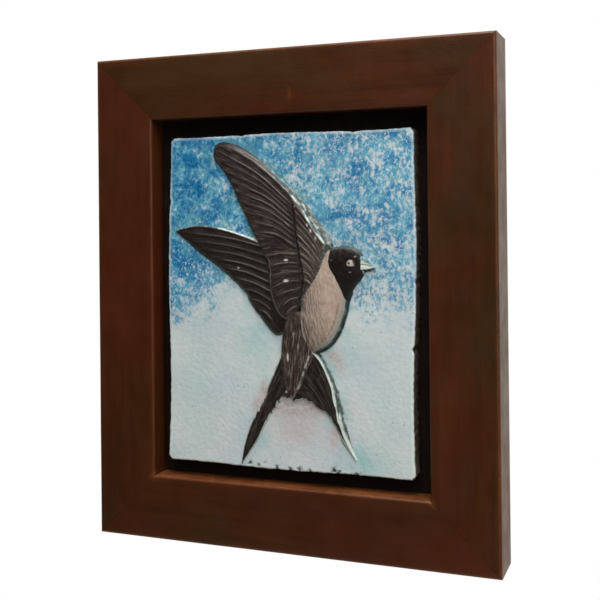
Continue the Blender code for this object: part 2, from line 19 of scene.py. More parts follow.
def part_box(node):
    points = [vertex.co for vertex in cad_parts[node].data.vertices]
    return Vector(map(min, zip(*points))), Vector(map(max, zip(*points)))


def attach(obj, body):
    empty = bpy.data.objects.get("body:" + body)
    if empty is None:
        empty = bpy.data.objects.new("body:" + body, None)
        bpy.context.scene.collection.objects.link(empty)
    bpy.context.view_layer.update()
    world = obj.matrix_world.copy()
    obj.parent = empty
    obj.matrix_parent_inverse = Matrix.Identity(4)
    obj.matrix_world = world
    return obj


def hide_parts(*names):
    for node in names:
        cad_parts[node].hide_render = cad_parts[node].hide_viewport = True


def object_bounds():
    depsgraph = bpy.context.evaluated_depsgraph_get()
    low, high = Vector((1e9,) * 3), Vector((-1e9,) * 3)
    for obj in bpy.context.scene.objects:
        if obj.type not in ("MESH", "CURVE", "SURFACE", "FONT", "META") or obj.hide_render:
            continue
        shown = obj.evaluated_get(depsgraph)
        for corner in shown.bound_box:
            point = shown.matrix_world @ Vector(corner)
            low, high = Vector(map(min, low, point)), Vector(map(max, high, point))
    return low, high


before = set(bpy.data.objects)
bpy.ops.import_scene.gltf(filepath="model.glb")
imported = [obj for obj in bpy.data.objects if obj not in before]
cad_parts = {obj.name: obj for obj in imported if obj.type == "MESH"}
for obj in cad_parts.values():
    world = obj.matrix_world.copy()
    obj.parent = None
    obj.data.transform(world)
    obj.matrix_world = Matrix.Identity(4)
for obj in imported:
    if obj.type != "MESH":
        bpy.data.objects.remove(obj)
CAD_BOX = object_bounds()

LOG = logging.getLogger("framed_swallow")
BODY = "root"
MM = 0.001
CHUNK = 8192

Points = np.ndarray
Line = list[tuple[float, float]]
Colour = tuple[float, float, float, float]
Spot = tuple[float, float, float, float, float]
Socket = bpy.types.NodeSocket
Given = Socket | float | tuple[float, ...]


def paint(red: int, green: int, blue: int) -> Colour:
    """The linear colour of an 8-bit display colour, by the sRGB curve.

    Args:
        red: The red level, 0 to 255.
        green: The green level.
        blue: The blue level.

    Returns:
        The linear levels and full opacity.
    """
    shares = [value / 255 for value in (red, green, blue)]
    linear = [s / 12.92 if s < 0.04045 else ((s + 0.055) / 1.055) ** 2.4 for s in shares]
    return (*linear, 1.0)


def ease(share: np.ndarray) -> np.ndarray:
    """0 to 1 with level ends: 3s^2 - 2s^3 of the clipped share."""
    share = np.clip(share, 0, 1)
    return share * share * (3 - 2 * share)


def between(low: float, high: float, share: np.ndarray) -> np.ndarray:
    """From low to high as the share goes from 0 to 1."""
    return low + (high - low) * np.clip(share, 0, 1)


def bump(gap: np.ndarray, width: float) -> np.ndarray:
    """1 where the gap is 0, eased down to 0 at the width."""
    return 1 - ease(np.abs(gap) / width)


def ripple(points: Points, size: float, seed: int, waves: int = 7) -> np.ndarray:
    """A smooth random field of about -1 to 1.

    It is the sum of sines along random directions, divided by the root of their number.

    Args:
        points: Rows of coordinates.
        size: The usual length of a wave, in the points' units.
        seed: Names the field, so that each is the same on every run.
        waves: How many sines.

    Returns:
        One value for each point.
    """
    random = np.random.default_rng(seed)
    direction = random.normal(size=(points.shape[1], waves))
    direction /= np.linalg.norm(direction, axis=0)
    length = size * random.uniform(0.7, 1.5, waves)
    phase = random.uniform(0, 2 * math.pi, waves)
    return np.sin(points @ (2 * math.pi * direction / length) + phase).sum(axis=1) / math.sqrt(waves)


def smooth_curve(points: Line, spans: int = 8) -> Points:
    """A Catmull-Rom curve: a cubic on each stretch, its end slopes set by the neighbouring points.

    Args:
        points: The points that it passes through.
        spans: How many steps each stretch gets.

    Returns:
        The points along the curve.
    """
    p = np.asarray(points, float)
    p = np.vstack([2 * p[0] - p[1], p, 2 * p[-1] - p[-2]])
    t = np.linspace(0, 1, spans, endpoint=False)[:, None]
    pieces = [
        b + 0.5 * t * (c - a + t * (2 * a - 5 * b + 4 * c - d + t * (3 * (b - c) + d - a)))
        for a, b, c, d in zip(p, p[1:], p[2:], p[3:])
    ]
    return np.vstack(pieces + [p[-2:-1]])


def closed_outline(*stretches: Line) -> Points:
    """One closed ring from smooth stretches that meet end to end."""
    return np.vstack([smooth_curve(stretch)[:-1] for stretch in stretches])


def at_share(points: Line, share: float) -> Points:
    """The point at a share of a smooth curve's length.

    Args:
        points: The points that the curve passes through.
        share: 0 at its start and 1 at its end.

    Returns:
        The point.
    """
    line = smooth_curve(points)
    run = np.concatenate([[0], np.cumsum(np.hypot(*np.diff(line, axis=0).T))])
    return np.array([np.interp(share * run[-1], run, line[:, k]) for k in (0, 1)])


def nearest(points: Points, line: Points) -> tuple[np.ndarray, np.ndarray, np.ndarray]:
    """Where each point lies beside a line.

    Each point is dropped square onto every segment, and the closest foot is kept.

    Args:
        points: Rows of x and z.
        line: The line's points in order.

    Returns:
        The distance, how far along the line the foot lies (0 to 1), and the side (1 or -1).
    """
    start, step = line[:-1], np.diff(line, axis=0)
    squared = (step**2).sum(axis=1)
    found = []
    for part in np.array_split(points, max(1, len(points) // CHUNK)):
        away = part[:, None] - start
        along = np.clip((away * step).sum(axis=2) / squared, 0, 1)
        off = away - along[..., None] * step
        best = (off**2).sum(axis=2).argmin(axis=1)
        row = np.arange(len(part))
        foot, segment = off[row, best], step[best]
        side = np.sign(segment[:, 0] * foot[:, 1] - segment[:, 1] * foot[:, 0])
        found.append((np.hypot(*foot.T), (best + along[row, best]) / len(start), side))
    return tuple(np.concatenate(column) for column in zip(*found))


def depth_inside(points: Points, ring: Points) -> np.ndarray:
    """Distance to a closed ring, positive inside it.

    A point lies inside if a ray from it crosses the ring an odd number of times.

    Args:
        points: Rows of x and z.
        ring: The ring's points in order.

    Returns:
        One distance for each point.
    """
    line = np.vstack([ring, ring[:1]])
    (x0, z0), (x1, z1) = line[:-1].T, line[1:].T
    rise = np.where(z1 == z0, 1e-9, z1 - z0)
    inside = []
    for part in np.array_split(points, max(1, len(points) // CHUNK)):
        x, z = part[:, :1], part[:, 1:]
        crossed = ((z0 > z) != (z1 > z)) & (x < (x1 - x0) * (z - z0) / rise + x0)
        inside.append(crossed.sum(axis=1) % 2 == 1)
    gap = nearest(points, line)[0]
    return np.where(np.concatenate(inside), gap, -gap)


def stand(name: str, data: bpy.types.ID) -> bpy.types.Object:
    """Puts a new object in the scene.

    Args:
        name: Its name.
        data: Its mesh, light or camera.

    Returns:
        The object.
    """
    piece = bpy.data.objects.new(name, data)
    bpy.context.scene.collection.objects.link(piece)
    return piece


class Sheet:
    """A mesh under construction: numpy points and faces, with named values on the points."""

    def __init__(self, name: str, points: Points, faces: list | np.ndarray) -> None:
        """Makes the mesh and its object.

        Args:
            name: The piece's name.
            points: Rows of x, y and z in metres.
            faces: Rows of point numbers, outward side anticlockwise.
        """
        mesh = bpy.data.meshes.new(name)
        mesh.from_pydata(points.tolist(), [], faces if isinstance(faces, list) else faces.tolist())
        mesh.update()
        self.mesh = mesh
        self.piece = stand(name, mesh)

    def value(self, name: str, values: np.ndarray) -> None:
        """Stores one number on each point."""
        layer = self.mesh.attributes.new(name, "FLOAT", "POINT")
        layer.data.foreach_set("value", np.ascontiguousarray(values, np.float32))

    def place(self, name: str, values: Points) -> None:
        """Stores three numbers on each point."""
        layer = self.mesh.attributes.new(name, "FLOAT_VECTOR", "POINT")
        layer.data.foreach_set("vector", np.ascontiguousarray(values, np.float32).ravel())

    def shade(self, degrees: float) -> None:
        """Shades smooth, but keeps edges sharp that turn by more than an angle."""
        self.mesh.shade_smooth()
        self.mesh.set_sharp_from_angle(angle=math.radians(degrees))

    def finish(self, material: bpy.types.Material, slot: str, *nodes: str) -> bpy.types.Object:
        """Dresses the piece and ties it to the frame.

        Args:
            material: Its finish.
            slot: Not used.
            nodes: The nodes that it stands for.

        Returns:
            The finished object.
        """
        self.mesh.materials.append(material)
        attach(self.piece, BODY)
        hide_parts(*nodes)
        LOG.info("%s: %d faces", self.piece.name, len(self.mesh.polygons))
        return self.piece


class Desk:
    """Places nodes in a tree and joins them."""

    def __init__(self, tree: bpy.types.NodeTree) -> None:
        """Takes the tree to work in."""
        self.tree = tree

    def put(self, kind: str, settings: dict | None = None, inputs: dict | None = None) -> bpy.types.Node:
        """Places a node.

        Args:
            kind: The node's type.
            settings: Values of its properties.
            inputs: Sockets or values for its inputs, by name or number.

        Returns:
            The node.
        """
        node = self.tree.nodes.new(kind)
        for name, value in (settings or {}).items():
            setattr(node, name, value)
        for key, value in (inputs or {}).items():
            if isinstance(value, bpy.types.NodeSocket):
                self.tree.links.new(value, node.inputs[key])
            else:
                node.inputs[key].default_value = value
        return node

    def maths(self, operation: str, a: Given, b: Given = 0.0, c: Given = 0.0) -> Socket:
        """A sum, product or other arithmetic of up to three values."""
        return self.put("ShaderNodeMath", {"operation": operation}, {0: a, 1: b, 2: c}).outputs[0]

    def product(self, *values: Given) -> Socket:
        """The product of two or more values."""
        return reduce(lambda a, b: self.maths("MULTIPLY", a, b), values)

    def mix(self, share: Given, a: Given, b: Given, blend: str = "MIX") -> Socket:
        """Colour a where the share is 0 and b where it is 1."""
        settings = {"data_type": "RGBA", "blend_type": blend}
        return self.put("ShaderNodeMix", settings, {0: share, 6: a, 7: b}).outputs[2]

    def lay(self, colour: Given, *coats: tuple[Given, Given]) -> Socket:
        """Lays coats over a colour one after another, each a share and its colour."""
        return reduce(lambda under, coat: self.mix(coat[0], under, coat[1]), coats, colour)

    def step(self, value: Given, low: float, high: float, start: float = 0.0, end: float = 1.0) -> Socket:
        """An eased ramp: 3s^2 - 2s^3 of the value's share between two limits.

        Args:
            value: The value.
            low: Where the ramp starts.
            high: Where it ends.
            start: What it gives at and below its start.
            end: What it gives at and beyond its end.

        Returns:
            The ramp's value.
        """
        inputs = {"Value": value, "From Min": low, "From Max": high, "To Min": start, "To Max": end}
        return self.put("ShaderNodeMapRange", {"interpolation_type": "SMOOTHSTEP"}, inputs).outputs[0]

    def noise(self, vector: Given, scale: Given, detail: float = 2.0, roughness: float = 0.5,
              distortion: float = 0.0) -> Socket:
        """Cloudy noise of 0 to 1.

        Args:
            vector: Where it is read.
            scale: Its features to one unit of the vector.
            detail: How many finer layers it has.
            roughness: How strong the finer layers are.
            distortion: How far it is swirled.

        Returns:
            The noise.
        """
        inputs = {"Vector": vector, "Scale": scale, "Detail": detail, "Roughness": roughness}
        inputs["Distortion"] = distortion
        return self.put("ShaderNodeTexNoise", {}, inputs).outputs[0]

    def spots(self, vector: Given, scale: float) -> Socket:
        """Distance from scattered points, one to each cell, in shares of a cell."""
        return self.put("ShaderNodeTexVoronoi", {}, {"Vector": vector, "Scale": scale}).outputs["Distance"]

    def stretch(self, vector: Given, scale: tuple[float, float, float]) -> Socket:
        """The vector scaled along each axis."""
        return self.put("ShaderNodeMapping", {}, {"Vector": vector, "Scale": scale}).outputs[0]

    def part(self, vector: Given, axis: str) -> Socket:
        """One axis of a vector."""
        return self.put("ShaderNodeSeparateXYZ", {}, {0: vector}).outputs[axis]

    def value(self, name: str) -> Socket:
        """A number that the mesh stores on its points."""
        return self.put("ShaderNodeAttribute", {"attribute_name": name}).outputs["Fac"]

    def vector(self, name: str) -> Socket:
        """A vector that the mesh stores on its points."""
        return self.put("ShaderNodeAttribute", {"attribute_name": name}).outputs["Vector"]

    def place(self) -> Socket:
        """The place on the object, in metres."""
        return self.put("ShaderNodeTexCoord").outputs["Object"]


@dataclass(frozen=True)
class Effect:
    """A node group that several finishes share.

    Each effect has number inputs after its Vector, and one number output called Amount.
    """

    name: str
    inputs: tuple[str, ...]

    def group(self) -> bpy.types.NodeTree:
        """The group, made on first use.

        Returns:
            The group's node tree.
        """
        tree = bpy.data.node_groups.get(self.name)
        if tree is None:
            tree = bpy.data.node_groups.new(self.name, "ShaderNodeTree")
            tree.interface.new_socket("Vector", in_out="INPUT", socket_type="NodeSocketVector")
            for name in self.inputs:
                tree.interface.new_socket(name, in_out="INPUT", socket_type="NodeSocketFloat")
            tree.interface.new_socket("Amount", in_out="OUTPUT", socket_type="NodeSocketFloat")
            desk = Desk(tree)
            given = desk.put("NodeGroupInput").outputs
            desk.put("NodeGroupOutput", {}, {"Amount": self.draw(desk, given)})
        return tree

    def draw(self, desk: Desk, given: bpy.types.NodeOutputs) -> Socket:
        """The nodes inside the group."""
        raise NotImplementedError

    def on(self, desk: Desk, vector: Given, *values: Given) -> Socket:
        """Places the effect in a material with its own values."""
        inputs = {"Vector": vector, **dict(zip(self.inputs, values))}
        return desk.put("ShaderNodeGroup", {"node_tree": self.group()}, inputs).outputs["Amount"]


class Mottle(Effect):
    """Cloudy unevenness about 1, from two sizes of noise."""

    def draw(self, desk: Desk, given: bpy.types.NodeOutputs) -> Socket:
        """One plus the contrast times the noise about its middle.

        Args:
            desk: The group's desk.
            given: The group's Vector, Scale and Contrast.

        Returns:
            The unevenness.
        """
        broad = desk.noise(given["Vector"], given["Scale"], 3.0, 0.6)
        fine = desk.noise(given["Vector"], desk.maths("MULTIPLY", given["Scale"], 4.3), 4.0, 0.6)
        both = desk.maths("ADD", broad, desk.product(fine, 0.5))
        centred = desk.maths("SUBTRACT", both, 0.75)
        return desk.maths("MULTIPLY_ADD", centred, given["Contrast"], 1.0)


class Peel(Effect):
    """The fine unevenness of a flowed coat, for a bump's height."""

    def draw(self, desk: Desk, given: bpy.types.NodeOutputs) -> Socket:
        """Soft dimples with a finer grain on them.

        Args:
            desk: The group's desk.
            given: The group's Vector, Scale and Grain.

        Returns:
            The height.
        """
        dimples = desk.noise(given["Vector"], given["Scale"])
        grain = desk.noise(given["Vector"], desk.maths("MULTIPLY", given["Scale"], 5.0))
        return desk.maths("MULTIPLY_ADD", grain, given["Grain"], dimples)


class Dust(Effect):
    """Dust that settles on what faces up, in soft patches."""

    def draw(self, desk: Desk, given: bpy.types.NodeOutputs) -> Socket:
        """A little everywhere and more on level faces, broken by noise.

        Args:
            desk: The group's desk.
            given: The group's Vector and Strength.

        Returns:
            The share of dust.
        """
        normal = desk.put("ShaderNodeNewGeometry").outputs["Normal"]
        level = desk.step(desk.part(normal, "Z"), 0.2, 1.0, 0.15, 1.0)
        patches = desk.step(desk.noise(given["Vector"], 90.0, 5.0, 0.65), 0.35, 0.75)
        return desk.product(level, patches, given["Strength"])


class EdgeWear(Effect):
    """Rubbed edges, from a mesh's own edge value and noise."""

    def draw(self, desk: Desk, given: bpy.types.NodeOutputs) -> Socket:
        """The edge value, broken into worn lengths.

        Args:
            desk: The group's desk.
            given: The group's Vector, Edge and Strength.

        Returns:
            The share of wear.
        """
        lengths = desk.step(desk.noise(given["Vector"], 55.0, 4.0, 0.6), 0.3, 0.7, 0.25, 1.0)
        specks = desk.step(desk.noise(given["Vector"], 900.0, 3.0, 0.6), 0.3, 0.6, 0.5, 1.0)
        return desk.product(given["Edge"], lengths, specks, given["Strength"])


MOTTLE = Mottle("hand mottle", ("Scale", "Contrast"))
PEEL = Peel("flowed coat", ("Scale", "Grain"))
DUST = Dust("settled dust", ("Strength",))
EDGE_WEAR = EdgeWear("rubbed edges", ("Edge", "Strength"))


class Finish:
    """A material with one Principled shader, and how its finish reaches that shader."""

    name: str
    relief: float
    specular: float = 0.5
    metallic: float = 0.0

    def material(self) -> bpy.types.Material:
        """Makes the material: its colour, roughness and height, and its fixed values.

        Returns:
            The material.
        """
        made = bpy.data.materials.new(self.name)
        made.use_nodes = True
        desk = Desk(made.node_tree)
        shader = made.node_tree.nodes["Principled BSDF"]
        colour, roughness, height = self.draw(desk)
        bumped = desk.put("ShaderNodeBump", {}, {"Strength": 1.0, "Distance": self.relief, "Height": height})
        desk.tree.links.new(colour, shader.inputs["Base Color"])
        desk.tree.links.new(roughness, shader.inputs["Roughness"])
        desk.tree.links.new(bumped.outputs[0], shader.inputs["Normal"])
        shader.inputs["Specular IOR Level"].default_value = self.specular
        shader.inputs["Metallic"].default_value = self.metallic
        return made

    def draw(self, desk: Desk) -> tuple[Socket, Socket, Socket]:
        """The finish's colour, roughness and height."""
        raise NotImplementedError


@dataclass(frozen=True)
class StainedWood(Finish):
    """Dark-brown stain under a satin lacquer, with the grain along each rail."""

    name: str = "stained wood"
    stain: Colour = paint(71, 33, 8)
    deep: Colour = paint(56, 25, 6)
    # also the painted highlight on the bottom rail's lit ledge
    rubbed: Colour = paint(122, 70, 36)
    olive: Colour = paint(52, 32, 9)
    red: Colour = paint(66, 26, 8)
    pore: Colour = paint(30, 14, 8)
    dust: Colour = paint(150, 140, 130)
    shine: float = 0.36
    relief: float = 0.00008
    specular: float = 0.28

    def draw(self, desk: Desk) -> tuple[Socket, Socket, Socket]:
        """Streaks and clouds of stain, rubbed edges, a painted highlight on the lit ledge, a scratch and
        faint pores.

        Args:
            desk: The material's desk.

        Returns:
            The colour, roughness and height.
        """
        grain = desk.vector("grain")
        streaks = desk.noise(desk.stretch(grain, (9, 160, 160)), 1.0, 6.0, 0.6, 0.4)
        pores = desk.step(desk.noise(desk.stretch(grain, (60, 1500, 1500)), 1.0), 0.56, 0.72)
        clouds = MOTTLE.on(desk, desk.stretch(grain, (0.45, 1, 1)), 26.0, 0.9)
        grey = desk.put("ShaderNodeCombineColor", {}, {0: clouds, 1: clouds, 2: clouds}).outputs[0]
        patches = desk.noise(desk.stretch(grain, (0.6, 1, 1)), 16.0)
        stained = desk.lay(
            desk.mix(desk.step(streaks, 0.25, 0.8), self.deep, self.stain),
            (desk.product(desk.step(patches, 0.5, 0.66), 0.8), self.olive),
            (desk.product(desk.step(patches, 0.5, 0.36), 0.8), self.red),
        )
        colour = desk.lay(
            desk.mix(1.0, stained, grey, "MULTIPLY"),
            (desk.product(pores, 0.2), self.pore),
            # rubbed edges, and the painted highlight on the lit ledge
            (EDGE_WEAR.on(desk, grain, desk.value("arris"), 0.85), self.rubbed),
            (desk.value("scratch"), self.rubbed),
            (DUST.on(desk, grain, 0.025), self.dust),
        )
        height = desk.maths("SUBTRACT", PEEL.on(desk, grain, 300.0, 0.1), desk.product(pores, 0.3))
        height = desk.maths("MULTIPLY_ADD", streaks, 0.3, height)
        sheen = desk.noise(grain, 60.0, 4.0, 0.6)
        return colour, desk.step(sheen, 0.3, 0.7, self.shine, self.shine + 0.12), height


@dataclass(frozen=True)
class BlackBoard(Finish):
    """Hardboard painted black in front, with its raw brown back and edges."""

    name: str = "black board"
    black: Colour = paint(20, 12, 10)
    brushed: Colour = paint(34, 24, 20)
    raw: Colour = paint(112, 76, 48)
    raw_fibre: Colour = paint(74, 48, 31)
    dust: Colour = paint(120, 104, 92)
    back_y: float = 0.0
    relief: float = 0.00015
    specular: float = 0.2

    def draw(self, desk: Desk) -> tuple[Socket, Socket, Socket]:
        """Brushed black with dust in front, pressed fibres behind.

        Args:
            desk: The material's desk.

        Returns:
            The colour, roughness and height.
        """
        place = desk.place()
        behind = desk.step(desk.part(place, "Y"), self.back_y - 0.0006, self.back_y - 0.0002)
        fibres = desk.noise(desk.stretch(place, (1, 0.3, 1)), 420.0, 6.0, 0.7, 1.2)
        brushed = desk.noise(desk.stretch(place, (700, 200, 90)), 1.0, 3.0, 0.6)
        raw = desk.mix(desk.step(fibres, 0.3, 0.7), self.raw, self.raw_fibre)
        black = desk.mix(desk.step(brushed, 0.4, 0.8), self.black, self.brushed)
        black = desk.mix(DUST.on(desk, place, 0.1), black, self.dust)
        height = desk.maths("MULTIPLY_ADD", fibres, behind, desk.product(brushed, 0.5))
        return desk.mix(behind, black, raw), desk.step(brushed, 0.3, 0.7, 0.5, 0.68), height


@dataclass(frozen=True)
class ZincSteel(Finish):
    """Bright zinc plate with a few dull patches."""

    name: str = "zinc plated steel"
    bright: Colour = paint(196, 198, 200)
    dull: Colour = paint(150, 148, 142)
    relief: float = 0.00003
    metallic: float = 1.0

    def draw(self, desk: Desk) -> tuple[Socket, Socket, Socket]:
        """Rolled streaks and dull patches on metal.

        Args:
            desk: The material's desk.

        Returns:
            The colour, roughness and height.
        """
        place = desk.place()
        patches = desk.step(MOTTLE.on(desk, place, 160.0, 1.0), 0.85, 1.2)
        rolled = desk.noise(desk.stretch(place, (60, 900, 900)), 1.0, 3.0, 0.6)
        roughness = desk.maths("MULTIPLY_ADD", rolled, 0.2, desk.step(patches, 0, 1, 0.2, 0.36))
        return desk.mix(patches, self.bright, self.dull), roughness, PEEL.on(desk, place, 900.0, 0.4)


@dataclass(frozen=True)
class GlazedClay(Finish):
    """White glaze with a sponged blue sky, and the swallow painted in browns, black and cream."""

    name: str = "glazed ceramic"
    white: Colour = paint(203, 211, 212)
    grey_white: Colour = paint(190, 202, 207)
    worn_white: Colour = paint(216, 220, 216)
    blush: Colour = paint(198, 183, 185)
    smudge: Colour = paint(134, 118, 113)
    speck: Colour = paint(100, 98, 98)
    blue: Colour = paint(20, 112, 162)
    pale_blue: Colour = paint(98, 168, 194)
    deep_blue: Colour = paint(4, 88, 138)
    thin_blue: Colour = paint(128, 176, 196)
    crisp_blue: Colour = paint(180, 206, 216)
    green_blue: Colour = paint(96, 150, 156)
    halo_blue: Colour = paint(92, 148, 152)
    teal: Colour = paint(154, 194, 194)
    # painted shade at the foot of the walls, with pooled dark glaze
    crease_shade_green: Colour = paint(34, 52, 53)
    # pale and dark wall glaze, also the painted light and shade on walls that face toward and away from the
    # light
    lit_thin_wall: Colour = paint(190, 202, 197)
    shaded_pooled_wall: Colour = paint(66, 74, 72)
    black: Colour = paint(27, 21, 19)
    black_streak: Colour = paint(16, 13, 12)
    brown: Colour = paint(52, 39, 36)
    brown_streak: Colour = paint(34, 25, 23)
    pale_streak: Colour = paint(140, 127, 119)
    barb_speck: Colour = paint(120, 112, 108)
    # painted shade in the wing's fold, with its dark glaze
    fold: Colour = paint(24, 18, 17)
    shaft: Colour = paint(130, 118, 112)
    cream: Colour = paint(190, 171, 156)
    flush: Colour = paint(182, 156, 142)
    hair_shade: Colour = paint(148, 138, 129)
    hair_fleck: Colour = paint(150, 124, 113)
    hair: Colour = paint(92, 80, 72)
    # painted shade down the belly's right side
    turned: Colour = paint(136, 144, 138)
    bill: Colour = paint(198, 206, 196)
    eye: Colour = paint(188, 178, 172)
    pupil: Colour = paint(22, 18, 17)
    # painted highlights on raised places
    glint: Colour = paint(206, 200, 196)
    clay: Colour = paint(96, 88, 78)
    clay_shade: Colour = paint(58, 54, 48)
    pit: Colour = paint(24, 26, 26)
    relief: float = 0.0002
    specular: float = 0.33

    def sky(self, desk: Desk, place: Socket) -> Socket:
        """White glaze with blue sponged on: flecks where noise passes a level set by the sky's own density.

        Args:
            desk: The material's desk.
            place: The place on the tile.

        Returns:
            The colour.
        """
        upright = desk.stretch(place, (1, 1, 0.78))
        sky = desk.value("sky")
        bare = desk.maths("SUBTRACT", 1.0, sky)
        cover = desk.noise(upright, 430.0, 3.0, 0.6, 0.5)
        dabs = desk.noise(place, 110.0, 3.0, 0.55)
        cover = desk.maths("MULTIPLY_ADD", desk.maths("SUBTRACT", dabs, 0.5), 0.7, cover)
        cover = desk.maths("MULTIPLY_ADD", desk.maths("SUBTRACT", sky, 0.5), 0.5, cover)
        tone = desk.step(desk.noise(place, 75.0, 4.0, 0.6), 0.34, 0.66)
        crisp = desk.step(desk.noise(upright, 640.0, 2.0, 0.5, 0.8), 0.58, 0.66)
        few = desk.step(bare, 0.0, 0.28, 0.25, 0.8)
        tint = desk.step(desk.noise(place, 150.0), 0.56, 0.68)
        tone = desk.lay(
            desk.mix(tone, self.blue, self.pale_blue),
            (desk.product(desk.step(cover, 0.62, 0.9), 0.85), self.deep_blue),
            (desk.product(desk.step(bare, 0.15, 0.75), 0.55), self.thin_blue),
            (desk.product(crisp, few), self.crisp_blue),
            (desk.product(tint, 0.35), self.green_blue),
            (desk.product(desk.value("halo"), 0.7), self.halo_blue),
        )
        inked = desk.product(desk.step(cover, 0.36, 0.66), desk.step(sky, 0.02, 0.4))
        return desk.mix(inked, self.ground(desk, place), tone)

    def ground(self, desk: Desk, place: Socket) -> Socket:
        """The bare white glaze: bluish, with greyer and pinker clouds and small dark specks.

        Args:
            desk: The material's desk.
            place: The place on the tile.

        Returns:
            The colour.
        """
        clouds = desk.step(desk.noise(place, 28.0, 4.0, 0.55), 0.35, 0.68)
        blush = desk.value("blush")
        grain = desk.step(desk.noise(place, 420.0, 5.0, 0.7), 0.25, 0.75)
        specks = desk.step(desk.spots(place, 210.0), 0.06, 0.16, 1.0, 0.0)
        scattered = desk.product(desk.step(desk.noise(place, 130.0), 0.54, 0.62), 0.5)
        smudged = desk.product(desk.step(blush, 0.1, 0.7), 0.45)
        return desk.lay(
            desk.mix(clouds, self.white, self.grey_white),
            (desk.value("halo"), self.teal),
            (desk.product(desk.step(blush, 0.0, 0.6), 0.6), self.blush),
            (desk.product(desk.step(blush, 0.2, 1.0), grain, 0.75), self.smudge),
            (desk.product(specks, desk.maths("MAXIMUM", scattered, smudged)), self.speck),
        )

    def walls(self, desk: Desk, place: Socket) -> Socket:
        """The swallow's walls: pale to grey-green, streaked; the share is glaze that ran thin or pooled, and
        painted light and shade by the way each wall faces.

        Args:
            desk: The material's desk.
            place: The place on the tile.

        Returns:
            The colour.
        """
        streaks = desk.maths("SUBTRACT", desk.noise(place, 330.0, 4.0, 0.65, 0.5), 0.5)
        pooled_and_shaded = desk.maths("MULTIPLY_ADD", streaks, 1.3, desk.value("murk_and_shade"))
        return desk.mix(desk.step(pooled_and_shaded, 0.05, 0.85), self.lit_thin_wall, self.shaded_pooled_wall)

    def plumage(self, desk: Desk, barbs: Socket) -> Socket:
        """Brown to black with streaks along each feather, painted shade with dark glaze in the fold, and
        broken pale shafts.

        Args:
            desk: The material's desk.
            barbs: Millimetres along and across the nearest shaft.

        Returns:
            The colour.
        """
        streaks = desk.noise(desk.stretch(barbs, (0.12, 1.6, 1)), 1.0, 4.0, 0.65, 0.3)
        brown = desk.mix(desk.step(streaks, 0.3, 0.74), self.brown, self.brown_streak)
        black = desk.mix(desk.step(streaks, 0.35, 0.75), self.black, self.black_streak)
        # breaks the pale shafts into lengths
        rubbed = desk.step(desk.noise(barbs, 0.9, 4.0, 0.7), 0.3, 0.68, 0.15, 0.95)
        specks = desk.noise(desk.stretch(barbs, (0.9, 2.2, 1)), 1.0, 3.0, 0.7)
        return desk.lay(
            desk.mix(desk.value("brown"), black, brown),
            (desk.product(desk.value("streak"), desk.step(streaks, 0.5, 0.64), 0.8), self.pale_streak),
            (desk.product(desk.value("shaft"), rubbed), self.shaft),
            (desk.product(desk.step(specks, 0.63, 0.72), 0.35), self.barb_speck),
            # painted shade in the fold
            (desk.product(desk.value("fold"), 0.85), self.fold),
        )

    def breast(self, desk: Desk, place: Socket, barbs: Socket) -> Socket:
        """Cream with a pink flush, brown hairs, and painted shade: darker toward the lower right and
        grey-green down the right side.

        Args:
            desk: The material's desk.
            place: The place on the tile.
            barbs: Millimetres down and across the body.

        Returns:
            The colour.
        """
        flush = desk.step(desk.noise(place, 90.0, 3.0, 0.6), 0.4, 0.65)
        flecks = desk.noise(desk.stretch(barbs, (0.35, 1.1, 1)), 1.0, 4.0, 0.7)
        hairs = desk.noise(desk.stretch(barbs, (0.12, 1.3, 1)), 1.0, 4.0, 0.75, 0.5)
        return desk.lay(
            desk.mix(flush, self.cream, self.flush),
            (desk.product(desk.value("hair_strokes_and_shade"), 0.6), self.hair_shade),
            (desk.product(desk.step(flecks, 0.5, 0.68), 0.4), self.hair_fleck),
            (desk.product(desk.step(hairs, 0.42, 0.56), desk.value("hair_strokes_and_shade")), self.hair),
            (desk.product(desk.value("turned"), 0.75), self.turned),
        )

    def surface(self, desk: Desk, place: Socket, barbs: Socket) -> tuple[Socket, Socket]:
        """The glaze's roughness and height: hairs on the dark feathers, a flowed coat elsewhere.

        Args:
            desk: The material's desk.
            place: The place on the tile.
            barbs: Millimetres along and across the nearest shaft.

        Returns:
            The roughness and the height.
        """
        dark = desk.value("dark")
        glossy = desk.step(desk.noise(place, 240.0, 4.0, 0.6), 0.3, 0.7, 0.2, 0.34)
        roughness = desk.maths("MULTIPLY_ADD", dark, 0.1, glossy)
        roughness = desk.maths("MULTIPLY_ADD", desk.value("side"), 0.35, roughness)
        hairs = desk.noise(desk.stretch(barbs, (0.15, 2.6, 1)), 1.0, 3.0, 0.6)
        coat = PEEL.on(desk, place, 420.0, 0.13)
        return roughness, desk.maths("MULTIPLY_ADD", desk.product(hairs, dark), 0.9, coat)

